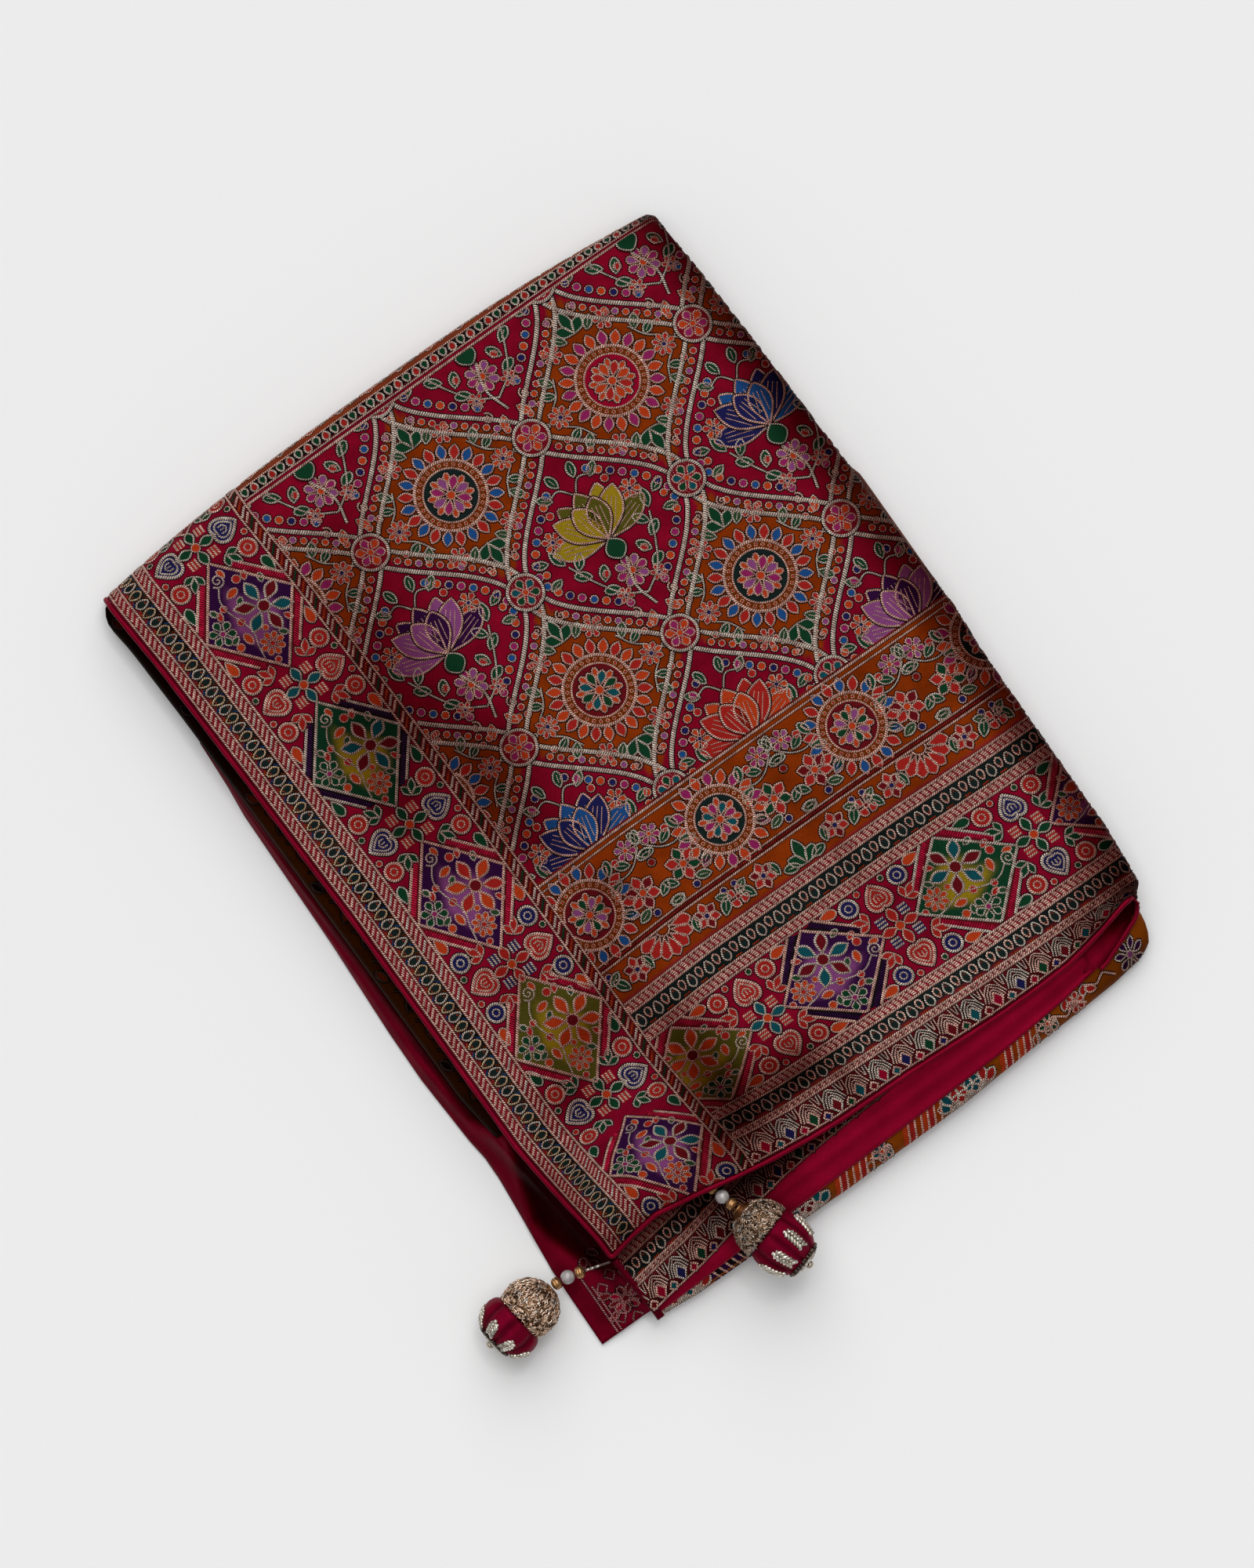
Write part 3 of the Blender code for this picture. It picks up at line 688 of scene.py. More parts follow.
def pallu_grid():
    """Flat places: even over the top, close together round the nose and the far roll."""
    bands = (SIDE_IN, 3.2, 3.6, 8.1, 8.5, 16.0, 16.4, 22.8, 23.2, 67.2, 67.6, 73.4, 73.8)
    even = np.concatenate([np.arange(a, b - 0.8, 2.05) for a, b in zip(bands[:-1], bands[1:])])
    even = np.unique(np.concatenate([even, bands, np.linspace(73.8, 258.0, 92)]))
    steps = (HEM_IN, 11.2, 11.6, 14.8, 15.2, 22.5, 22.9, 28.2, 28.6, 74.5, 74.9, 80.2, 80.6, 88.5, 88.9, 94.4)
    rows = np.concatenate([np.arange(a, b - 0.8, 1.9) for a, b in zip(steps[:-1], steps[1:])])
    rows = np.concatenate([rows, steps, np.linspace(94.4, 345.0, 126)])
    rows = np.unique(rows)
    width = pallu_width(rows)
    across = []
    for row, wide in zip(rows, width):
        nose = wide + NOSE_RADIUS * np.linspace(0.0, np.pi, 13)
        back = nose[-1] + RETURN_REACH * np.array((0.15, 0.4, 0.7, 1.0))
        across.append(np.concatenate([even, np.linspace(258.0, wide, 8)[1:], nose[1:], back]))
    across = np.array(across)
    along = np.tile(rows[:, None], (1, across.shape[1]))
    last = np.stack([across[-1], along[-1]], axis=1)
    x = pallu_surface(last)[:, 0]
    start = far_edge(x) - FAR_RADIUS - HEM_LINE + HEM_IN
    arc = 0.5 * np.pi * FAR_RADIUS
    fall = crown(x, far_edge(x) - FAR_RADIUS) - FAR_RADIUS - FAR_DROP_TO
    extra = [345.0 + (start - 345.0) * share for share in (0.34, 0.67, 1.0)]
    extra += [start + arc * share for share in np.linspace(0.0, 1.0, 15)[1:]]
    extra += [start + arc + fall * share for share in (0.25, 0.5, 0.75, 0.995)]
    along = np.vstack([along] + [row[None] for row in extra])
    across = np.vstack([across, np.tile(across[-1], (len(extra), 1))])
    return across, along


pallu = Cloth(pallu_surface, fold_shade)
pallu_across, pallu_along = pallu_grid()
print("pallu grid:", pallu_across.shape, "faces:", pallu_across.size * 4)

# %% [markdown]
# The pattern is woven in raised zari: a cream thread outlines each flower, with a thin dark line along
# both of its sides, and silk floats fill it. A texture could only paint that. Here each thread is a narrow
# ridge of real mesh laid on the cloth, three points across, and each fill is a low patch, so that they
# catch the light, and stand up in a close view.

# %% Flat paths
STEP = 1.7


def spaced(path, step):
    """The path with points at even steps."""
    lengths = travelled(path)
    at = np.linspace(0.0, lengths[-1], max(2, int(math.ceil(lengths[-1] / step)) + 1))
    return columns(np.interp(at, lengths, path[:, 0]), np.interp(at, lengths, path[:, 1]))


def rightwards(along):
    """Unit directions to the right of flat runs."""
    along = unit_rows(along)
    return columns(along[:, 1], -along[:, 0])


def crossing(inner, outer, low, high):
    """Where the line from an inner point to an outer one leaves the window."""
    run, target = outer - inner, np.clip(outer, low, high)
    past = target != outer
    return inner + run * np.min((target - inner)[past] / run[past])


def inside_runs(path, window):
    """The stretches of a path that lie in the window, cut at its edge."""
    low, high = np.array(window[:2]), np.array(window[2:])
    inside = np.all((path >= low) & (path <= high), axis=1)
    if inside.all():
        return [path]
    runs, current = [], []
    for k, point in enumerate(path):
        if inside[k]:
            if k and not inside[k - 1]:
                current.append(crossing(point, path[k - 1], low, high))
            current.append(point)
        elif k and inside[k - 1]:
            current.append(crossing(path[k - 1], point, low, high))
            runs.append(np.array(current))
            current = []
    if current:
        runs.append(np.array(current))
    return [run for run in runs if len(run) > 1 and np.ptp(run, axis=0).max() > 0.05]


def clipped_outline(outline, window):
    """A closed outline cut to the window, one edge of it after another."""
    points = [tuple(p) for p in outline]
    for axis, limit, sign in ((0, window[0], 1), (1, window[1], 1), (0, window[2], -1), (1, window[3], -1)):
        kept = []
        for k, point in enumerate(points):
            before = points[k - 1]
            now_in = sign * (point[axis] - limit) >= 0
            if now_in != (sign * (before[axis] - limit) >= 0):
                share = (limit - before[axis]) / (point[axis] - before[axis])
                kept.append(tuple(b + share * (p - b) for b, p in zip(before, point)))
            if now_in:
                kept.append(point)
        points = kept
        if not points:
            break
    return np.array(points)


print("stitch step:", STEP, "mm")

# %% Drawing with thread
THREAD_LIFT = 0.09
THREAD_SHARE = 0.86
OUTLINE_LIFT = 0.045
FLOAT_LIFT = 0.12
THREAD, OUTLINE, FLOAT = 0, 1, 2


class Weaving:
    """Threads and floats drawn flat on one cloth, then made into one mesh."""

    def __init__(self, cloth, window, limit=None):
        self.cloth = cloth
        self.window = window
        self.limit = limit
        self.flat, self.height, self.paint, self.strand = [], [], [], []
        self.quads, self.triangles = {kind: [] for kind in (THREAD, OUTLINE, FLOAT)}, []
        self.count = 0
        self.base = 0.0

    def add(self, flat, height, dye, strand):
        """Adds points and returns the number of the first."""
        first = self.count
        self.flat.append(flat)
        self.height.append(np.broadcast_to(height, len(flat)) + self.base)
        self.paint.append(np.broadcast_to(dye, (len(flat), 3)))
        self.strand.append(strand)
        self.count += len(flat)
        return first

    def band(self, run, out, half, heights, dye, kind, start=0.0):
        """Quads along a run, as many points wide as it has heights."""
        sides = np.linspace(-1.0, 1.0, len(heights))
        flat = (run[:, None] + out[:, None] * (half * sides)[:, None]).reshape(-1, 2)
        strand = columns(np.repeat(travelled(run) + start, len(sides)), np.tile(sides, len(run)))
        first = self.add(flat, np.tile(heights, len(run)), dye, strand)
        index = first + np.arange(len(flat)).reshape(-1, len(sides))
        self.quads[kind].append(faces(index[:-1, :-1], index[:-1, 1:], index[1:, 1:], index[1:, :-1]))

    def thread(self, path, width, dye, height=0.46, edge=0.42, closed=False, step=STEP):
        """A raised thread along a flat path, with a dark line along its sides where edge isn't 0."""
        path = np.asarray(path, float)
        whole = spaced(np.vstack([path, path[:1]]) if closed else path, step)
        for run in inside_runs(whole, self.window):
            if self.limit is not None:
                run = run[self.limit(run)]
                if len(run) < 2:
                    continue
            along = np.gradient(run, axis=0)
            if closed and len(run) == len(whole):
                along[0] = along[-1] = run[1] - run[-2]
            out, half = rightwards(along), 0.5 * THREAD_SHARE * width
            self.band(run, out, half, (THREAD_LIFT, height, THREAD_LIFT), dye, THREAD, chance.random() * 9.0)
            if edge:
                self.band(run, out, half + edge, (OUTLINE_LIFT, OUTLINE_LIFT), DARK, OUTLINE)

    def floats(self, outline, rim, middle=None, height=FLOAT_LIFT, cell=2.4, shade=None):
        """A low filled patch: one dye at its rim, another towards its middle."""
        outline = np.asarray(outline, float)
        if not np.all((outline >= self.window[:2]) & (outline <= self.window[2:])):
            outline = clipped_outline(outline, self.window)
        if len(outline) < 3 or self.limit is not None and not self.limit(outline).all():
            return
        nexts = np.roll(outline, -1, axis=0)
        area = 0.5 * np.sum(outline[:, 0] * nexts[:, 1] - outline[:, 1] * nexts[:, 0])
        if abs(area) < 0.02:
            return
        if area < 0:
            outline = outline[::-1]
        centre = outline.mean(axis=0)
        rings = max(1, int(math.ceil(np.hypot(*(outline - centre).T).max() / cell)))
        if rings > 1:
            outline = spaced(np.vstack([outline, outline[:1]]), cell)[:-1]
        count = len(outline)
        shares = np.arange(1, rings + 1) / rings
        flat = np.vstack([centre[None]] + [centre + share * (outline - centre) for share in shares])
        if shade is None:
            blend = np.concatenate([[0.0], np.repeat(shares ** 1.5, count)])[:, None]
            dye = np.array(rim if middle is None else middle) * (1 - blend) + np.array(rim) * blend
        else:
            dye = shade(flat)
        index = self.add(flat, height, dye, flat) + 1 + np.arange(rings * count).reshape(rings, count)
        ahead = np.roll(index, -1, axis=1)
        self.triangles.append(columns(np.full(count, index[0, 0] - 1), index[0], ahead[0]))
        if rings > 1:
            self.quads[FLOAT].append(faces(index[:-1], index[1:], ahead[1:], ahead[:-1]))

    def make(self, name):
        flat = np.vstack(self.flat)
        points = self.cloth.place(flat, np.concatenate(self.height))
        quads = [np.vstack(self.quads[kind] + [np.zeros((0, 4), int)]) for kind in (THREAD, OUTLINE, FLOAT)]
        triangles = np.vstack(self.triangles + [np.zeros((0, 3), int)])
        marks = np.repeat((THREAD, OUTLINE, FLOAT, FLOAT), [len(q) for q in quads] + [len(triangles)])
        # The cloth's painted shade darkens the threads and floats as well.
        paint = self.cloth.shaded(np.vstack(self.paint), points)
        return make_mesh(name, points, np.vstack(quads), triangles, [ZARI, SHADOW, FLOATS], paint, marks,
                         cloth=flat, strand=np.vstack(self.strand))


print("weaving ready")

# %% [markdown]
# The motifs are the weaver's vocabulary: petals, leaves, round dots, curls and the paan, a heart-shaped
# leaf. Each is drawn once about its own centre, then placed, turned and flipped. A pen remembers which
# way a border runs, so one drawing serves the long border and, mirrored across its diagonal, the end one.

# %% Pens and motifs
LINE = 0.95
FAT = 1.45
HEART = ((0.52, 0.0), (0.38, 0.15), (0.20, 0.31), (-0.02, 0.44), (-0.25, 0.44), (-0.42, 0.30), (-0.45, 0.12),
         (-0.38, 0.0))


def turned(path, angle):
    turn = math.radians(angle)
    rotation = np.array(((math.cos(turn), math.sin(turn)), (-math.sin(turn), math.cos(turn))))
    return np.asarray(path, float) @ rotation


def polar(place, reach, angle):
    """The place that lies at a reach and an angle from another."""
    return np.array(place) + turned(((reach, 0.0),), angle)[0]


def around(centre, side=1, end=1):
    """A measure from a centre: (across, along) to a place, mirrored where side or end is -1."""
    return lambda across, along: (centre[0] + side * across, centre[1] + end * along)


def mirrored(half):
    """A closed path from its upper half."""
    return np.vstack([half, (half * (1, -1))[-2:0:-1]])


def petal_path(length, width, fullness=0.62, count=9, sharp=0.85):
    """A closed petal from the origin along +x, widest at a share of its length; above 1, sharp points it."""
    share = np.linspace(0.0, 1.0, count)
    power = math.log(0.5) / math.log(fullness)
    side = 0.5 * width * np.sin(np.pi * np.minimum(share ** power, 1.0)) ** sharp
    return mirrored(columns(share * length, side))


def arc_path(radius, start, end, count=9):
    angle = np.radians(np.linspace(start, end, count))
    return radius * columns(np.cos(angle), np.sin(angle))


def round_path(radius, count=12):
    angle = np.arange(count) * 2 * np.pi / count
    return radius * columns(np.cos(angle), np.sin(angle))


def smooth_path(points, steps=6):
    """A smooth curve through the points."""
    points = np.asarray(points, float)
    ends = np.vstack([2 * points[0] - points[1], points, 2 * points[-1] - points[-2]])
    t = np.linspace(0.0, 1.0, steps + 1)[:-1, None]
    path = []
    for a, b, c, d in zip(ends[:-3], ends[1:-2], ends[2:-1], ends[3:]):
        bend, twist = 2 * a - 5 * b + 4 * c - d, 3 * b - a - 3 * c + d
        path.append(0.5 * (2 * b + (c - a) * t + bend * t ** 2 + twist * t ** 3))
    return np.vstack(path + [points[-1:]])


class Pen:
    """Draws motifs on a weaving; swap mirrors them across the diagonal for a border that runs across."""

    def __init__(self, weaving, swap=False):
        self.weaving = weaving
        self.swap = swap

    def at(self, path, place):
        flat = np.asarray(path, float) + np.asarray(place, float)
        return flat[:, ::-1] if self.swap else flat

    def thread(self, path, width, dye, place=(0.0, 0.0), **more):
        self.weaving.thread(self.at(path, place), width, dye, **more)

    def line(self, place, low, high, width, dye=CREAM, step=2.6):
        """A straight thread up the band."""
        self.thread(((place, low), (place, high)), width, dye, edge=0.25, step=step)

    def floats(self, path, rim, place=(0.0, 0.0), **more):
        self.weaving.floats(self.at(path, place), rim, **more)

    def petal(self, place, angle, length, width, dye, line=CREAM, thick=LINE, full=0.62, sharp=0.85):
        path = turned(petal_path(length, width, full, 9, sharp), angle)
        self.floats(path, dye, place)
        self.thread(path, thick, line, place, closed=True)

    def flower(self, place, radius, count, dyes, line=CREAM, eye=SCARLET, angle=90, full=0.62, thick=LINE,
               plump=1.0, sharp=0.85):
        for k in range(count):
            bearing = angle + 360.0 * k / count
            start, width = polar(place, radius * 0.22, bearing), plump * 3.7 * radius / count
            self.petal(start, bearing, radius * 0.78, width, dyes[k % len(dyes)], line, thick, full, sharp)
        self.ring(place, radius * 0.22, eye, line, thick)

    def ring(self, place, radius, eye, line=CREAM, thick=LINE):
        self.floats(round_path(radius, 8), eye, place, height=0.16)
        self.thread(round_path(radius, 10), thick * 0.8, line, place, closed=True, step=radius * 0.7)

    def ring_dot(self, place, radius, rim, line=CREAM):
        """Concentric rings: cream outside, a coloured ring, and a cream ring round a coloured eye."""
        self.floats(round_path(radius, 16), rim, place)
        self.thread(round_path(radius, 18), 1.45, line, place, closed=True, height=0.5)
        self.thread(round_path(radius * 0.40, 10), 0.9, line, place, closed=True, edge=0.0, step=1.0)

    def leaf(self, place, angle, length, width, dye=LEAF, line=ASH, vein=True, thick=LINE):
        self.petal(place, angle, length, width, dye, line, thick, 0.5)
        if vein and length > 5.0:
            spine = turned(((0.25 * length, 0.0), (0.72 * length, 0.0)), angle)
            self.thread(spine, 0.6, line, place, edge=0.0)

    def lobed_leaf(self, place, angle, size, dye=GREEN, line=ASH):
        for lobe, share in ((-50, 0.74), (50, 0.74), (0, 1.0)):
            self.petal(place, angle + lobe, size * share, size * 0.42, dye, line, 0.9, 0.55, 1.1)

    def paan(self, place, angle, size, dye, line=CREAM):
        """Heart leaf with its tip along the angle, drawn as three outlines one inside another."""
        outer = turned(mirrored(smooth_path(HEART, 4)) * size, angle)
        self.floats(outer, dye, place, height=0.09)
        for scale, width in ((1.0, 1.6), (0.66, 1.05)):
            self.thread(outer * scale, width, line, place, closed=True, edge=0.45, step=1.3)
        heart = ((-1.9, -1.6), (0.3, -1.7), (1.4, 0.0), (0.3, 1.7), (-1.9, 1.6))
        self.thread(turned(heart, angle), 0.9, line, place, edge=0.3, step=1.2)
        self.thread(turned(((-1.6, 0.0), (0.4, 0.0)), angle), 0.8, line, place, edge=0.3)

    def curl(self, place, radius, start, turns=1.6, line=ASH, flip=1):
        angle = np.radians(start) + flip * np.linspace(0.0, turns * 2 * np.pi, int(12 * turns))
        reach = radius * np.linspace(1.0, 0.16, len(angle))
        self.thread(columns(reach * np.cos(angle), reach * np.sin(angle)), 0.95, line, place, step=1.1)

    def stem(self, points, width=0.85):
        self.thread(smooth_path(points), width, ASH)


print("motifs ready")

# %% [markdown]
# Between the big bands run narrow ones. A rope is a row of fat slanted stitches between two lines. A ladder
# is two lines with broad pale stitches between them, and the red ground shows between those as thin slanted
# rungs. A drop chain is a row of drops that point up and down by turns. They repeat so often that each
# stitch is kept to a few points.

# %% Narrow bands
FRINGE_PITCH = 11.7
FRINGE_DYES = (NAVY, GREEN, DEEP_RED, TEAL, CRIMSON)


def rope(pen, start, width, low, high, dyes, pitch=3.0, line_width=1.05):
    """A rope of slanted stitches, between across places start and start + width."""
    inner, outer = start + line_width + 0.25, start + width - line_width - 0.25
    for place in (start + 0.5 * line_width, start + width - 0.5 * line_width):
        pen.line(place, low, high, line_width)
    for k in range(int((high - low) / pitch) + 2):
        at = low + (k - 1.0) * pitch
        pen.thread(((inner, at), (outer, at + 1.05 * (outer - inner))), 0.44 * pitch, dyes[k % len(dyes)],
                   height=0.55, edge=0.0, step=2.4)


def ladder(pen, start, width, low, high, pitch=2.74):
    """Broad pale stitches between two lines, each hooked at its foot."""
    for place in (start + 0.55, start + width - 0.55):
        pen.line(place, low, high, 1.15)
    inner, outer = start + 1.2, start + width - 1.2
    for k in range(int((high - low) / pitch) + 1):
        at = low + k * pitch
        path = ((inner, at + 0.9), (0.5 * (inner + outer), at + 0.6), (outer, at - 0.6))
        pen.thread(path, 0.76 * pitch, LADDER_CREAM, height=0.36, edge=0.0, step=2.0)


def drop_path(length, width):
    """A drop with its tip along +x and its middle at the origin."""
    return petal_path(length, width, 0.36, 7) - (0.5 * length, 0.0)


def drop_chain(pen, middle, length, low, high, pitch, big, small):
    """Drops across the band that point one way and the other by turns."""
    for k in range(int((high - low) / pitch) + 1):
        size, wide, angle, line, shift = big if k % 2 == 0 else small
        path = turned(drop_path(size * length, wide * pitch), angle)
        place = (middle + shift, low + k * pitch)
        pen.floats(path * 0.8, INK, place)
        pen.thread(path, 0.95, line, place, closed=True, edge=0.35, step=1.5)
        pen.thread(path[[5, 6, 7]] * 0.5, 0.8, ORANGE, place, edge=0.0, step=1.5)


def fringe(pen, foot, low, high):
    """The woven fringe at the hem: nested arrowheads, with a large and a small lozenge by turns."""
    for k in range(int((high - low) / FRINGE_PITCH) + 2):
        at = low + (k - 0.3) * FRINGE_PITCH
        tone = (ASH, CREAM)[k % 2]
        for apex, drop, reach in ((0.2, 7.0, 5.3), (1.6, 6.4, 4.2), (3.0, 5.4, 3.1), (4.4, 4.0, 2.0)):
            path = [(foot - apex - fall * drop, at + out * reach)
                    for fall, out in ((1, -1), (0.45, -0.68), (0, 0), (0.45, 0.68), (1, 1))]
            pen.thread(path, 0.82, tone, edge=0.3, step=2.0)
        for shift in (-4.9, -3.6, 3.6, 4.9):
            pen.thread(((foot - 0.2, at + shift), (foot - 4.4, at + 1.16 * shift)), 0.7, tone, edge=0.3)
        for tall, wide, place, line in ((3.5, 2.5, (foot - 8.4, at), tone),
                                        (2.0, 1.9, (foot - 10.4, at + 0.5 * FRINGE_PITCH), CREAM)):
            shape = diamond_shape(tall, wide)
            pen.floats(shape, FRINGE_DYES[(k + int(tall)) % 5], place, height=0.3)
            pen.thread(shape, 1.3, line, place, closed=True, edge=0.45, height=0.6, step=1.5)


def diamond_shape(half_across, half_along):
    return np.array(((half_across, 0.0), (0.0, half_along), (-half_across, 0.0), (0.0, -half_along)))


print("narrow bands ready")

# %% [markdown]
# The two wide borders carry a chain of diamonds. Each has a double outline, a ground that shades from
# dark corners to a bright middle, and a small bouquet. The bouquet below is a plain traditional one: a
# large six-petalled flower, two small ones, leaves, dots and a curl. Fills and dyes change by turns.

# %% Diamonds
DIAMOND_LOOKS = (
    # corners, middle, large flower's dyes, line
    (PURPLE, LILAC, (TEAL, DEEP_RED), CREAM),
    (OLIVE, YELLOW, (ORANGE, ORANGE), CREAM),
    (PURPLE, LILAC, (SCARLET, ORANGE), CREAM),
    (GREEN, YELLOW, (DEEP_RED, TEAL), ASH),
)


def diamond_shade(pen, centre, half_across, half_along, corner, middle):
    """Dye over a diamond: bright in the middle and to one side, dark in the corners."""
    def shade(flat):
        local = (flat[:, ::-1] if pen.swap else flat) - np.asarray(centre)
        off = np.abs(local[:, 0]) / half_across + np.abs(local[:, 1] + 3.0) / half_along
        share = (1.0 - ramp(0.30, 0.74, off + 0.10 * np.sin(local[:, 0] * 0.5)))[:, None]
        return np.array(corner) * (1 - share) + np.array(middle) * share
    return shade


BOUQUET_STEM = ((-3.0, 17.0), (-6.3, 12.0), (-6.6, 6.0), (-3.2, -6.0), (-5.0, -13.0), (-6.0, -19.0))
BOUQUET_LEAVES = (
    # across, along, angle, length, width, dye, line, thread
    (-3.2, 11.0, 12, 6.4, 3.4, ORANGE, CREAM, LINE), (-6.2, -11.2, 98, 6.2, 3.4, ORANGE, CREAM, LINE),
    (-10.8, 6.8, 118, 4.6, 2.8, LEAF, ASH, LINE), (7.6, 13.2, 62, 4.8, 2.7, SCARLET, CREAM, 0.85),
    (5.4, -12.6, -42, 4.8, 2.7, LEAF, ASH, 0.85), (-1.6, 5.4, 40, 4.8, 2.7, LEAF, ASH, 0.85),
    (12.8, 8.2, 70, 4.8, 2.7, LEAF, ASH, 0.85), (-11.4, 4.0, 70, 4.8, 2.7, SCARLET, CREAM, 0.85),
    (1.6, 19.0, 100, 4.8, 2.7, ORANGE, CREAM, 0.85), (-9.4, -5.0, 200, 4.8, 2.7, LEAF, ASH, 0.85),
    (11.8, -7.8, -60, 4.8, 2.7, SCARLET, CREAM, 0.85),
)
BOUQUET_DOTS = ((-4.9, -0.6, 1.7, SCARLET), (5.0, 15.6, 1.9, SCARLET), (-11.6, -9.4, 1.8, ORANGE),
                (-1.8, -22.6, 1.4, SCARLET), (-7.4, 8.2, 1.5, SCARLET), (2.0, -8.4, 1.3, ORANGE))


def bouquet(pen, centre, dyes, line):
    """What grows inside a diamond."""
    spot = around(centre)
    pen.stem([spot(*point) for point in BOUQUET_STEM])
    pen.curl(spot(-1.8, 19.6), 3.3, 200, 1.7)
    pen.flower(spot(7.0, -0.4), 12.6, 6, dyes, ASH if TEAL in dyes else line, DEEP_RED, 92, 0.55, 1.25,
               0.66, 1.15)
    pen.flower(spot(-14.2, -0.2), 5.9, 6, (GREEN,), ASH, MAGENTA, 90, 0.66, 0.85)
    pen.flower(spot(0.4, -15.6), 5.6, 8, (ORANGE,), CREAM, SCARLET, 90, 0.66, 0.8)
    for across, along, angle, length, width, dye, edge, thick in BOUQUET_LEAVES:
        pen.leaf(spot(across, along), angle, length, width, dye, edge, False, thick)
    for across, along, radius, eye in BOUQUET_DOTS:
        pen.ring(spot(across, along), radius, eye)


def diamond(pen, centre, half_across, half_along, look, reach, stripe):
    """A diamond with its double outline; reach is the half width of the band it sits in."""
    corner, middle, dyes, line = look
    shape = diamond_shape(half_across, half_along)
    shade = diamond_shade(pen, centre, half_across, half_along, corner, middle)
    pen.floats(shape, corner, centre, height=0.07, shade=shade)
    slope = half_along / half_across
    band, tint = (DARK, stripe) if stripe is PURPLE else (DEEP_RED, BRIGHT_ROSE)
    outer = np.array(((reach, 6.6), (10.4, half_along * 0.76)))
    inner = np.array(((half_across - 0.4, 1.4 * slope), (5.4, half_along - 5.4 * slope + 1.4)))
    for corner_way in ((-1, -1), (-1, 1), (1, -1), (1, 1)):
        pen.floats(np.vstack([inner, outer[::-1]]) * corner_way, band, centre, height=0.06)
        pen.thread(0.5 * (inner + outer) * corner_way, 2.3, tint, centre, height=0.2, edge=0.0)
        pen.thread(outer * corner_way, FAT, line, centre)
    pen.thread(shape, FAT, line, centre, closed=True, height=0.52)
    bouquet(pen, centre, dyes, line)


print("diamond looks:", len(DIAMOND_LOOKS))

# %% [markdown]
# Where two diamonds meet, a four-petalled flower covers the joint, with a paan leaf on either side, ring
# dots towards the corners, and small leaves between. The hatched squares behind it are short floats.

# %% Joints between diamonds
JOINT_LOOKS = (
    # petals, paan, ring dots and hatch, then the lines of the petals, paan and dots
    (GREEN, NAVY, SCARLET, ASH, ASH, CREAM),
    (TEAL, SCARLET, SCARLET, ASH, CREAM, CREAM),
    (GREEN, NAVY, SCARLET, ASH, ASH, CREAM),
    (SCARLET, SCARLET, NAVY, CREAM, CREAM, ASH),
)


def joint(pen, centre, look, reach, spread):
    """The flower over a joint; reach is the band's half width, spread the half gap along it."""
    petals, heart, dots, petal_line, heart_line, dot_line = look
    leaves = (SCARLET, CREAM) if heart is SCARLET else (GREEN, ASH)
    drops = (GREEN, ASH) if petals is GREEN else (ORANGE, CREAM)
    for side in (-1, 1):
        pen.paan(around(centre, side)(reach - 7.9, 0.0), 0 if side > 0 else 180, 12.0, heart, heart_line)
        for end in (-1, 1):
            spot = around(centre, side, end)
            square = np.array(((2.9, 3.3), (7.6, 3.3), (7.6, 8.0), (2.9, 8.0))) * (side, end)
            pen.floats(square, dots, centre, height=0.1)
            for column in (3.5, 5.2, 6.9):
                pen.thread(((side * column, end * 3.5), (side * column, end * 7.8)), 1.15, dot_line, centre,
                           edge=0.2, step=1.6)
            pen.ring_dot(spot(reach - 4.9, 12.6), 3.9, dots, dot_line)
            pen.ring(spot(reach - 1.9, 6.2), 1.35, GREEN if end > 0 else SCARLET)
            pen.lobed_leaf(spot(8.2, 9.6), end * (90 - side * 34), 7.6, *leaves)
            pen.petal(spot(reach - 2.7, spread - 17.0), end * (90 - side * 8), 8.2, 4.4, *drops, full=0.36)
    for k in range(4):
        start = around(centre)(*turned(((1.7, 0.0),), 90 * k)[0])
        pen.petal(start, 90 * k, 7.6, 4.3, petals, petal_line, full=0.5, sharp=1.25)
    pen.ring(centre, 2.0, ORANGE)


print("joint looks:", len(JOINT_LOOKS))

# %% [markdown]
# Now the borders are put together. The long one runs up the selvedge; the end one runs across the hem from
# where the long one stops. Their places and pitches were measured across the cloth.

# %% The long border
LONG_EDGE = 73.8
LONG_LENGTH = 396.0
LONG_MIDDLE = 45.2
LONG_REACH = 22.4
LONG_DIAMONDS = ((24.5, 0, CRIMSON), (101.8, 1, CRIMSON), (170.7, 2, SCARLET), (244.7, 3, PURPLE),
                 (319.4, 0, CRIMSON), (392.0, 2, CRIMSON))
LONG_JOINTS = ((-11.5, 3), (67.4, 0), (135.1, 3), (207.3, 2), (281.7, 1), (355.8, 0))


def far_limit(flat):
    """True where the cloth hasn't yet reached the floor at the far end."""
    x = flat[:, 0] - 141.0 - SIDE_IN
    start = far_edge(x) - FAR_RADIUS
    fall = crown(x, start) - FAR_RADIUS - FAR_DROP_TO
    return flat[:, 1] - HEM_IN + HEM_LINE < start + 0.5 * np.pi * FAR_RADIUS + fall - 0.8


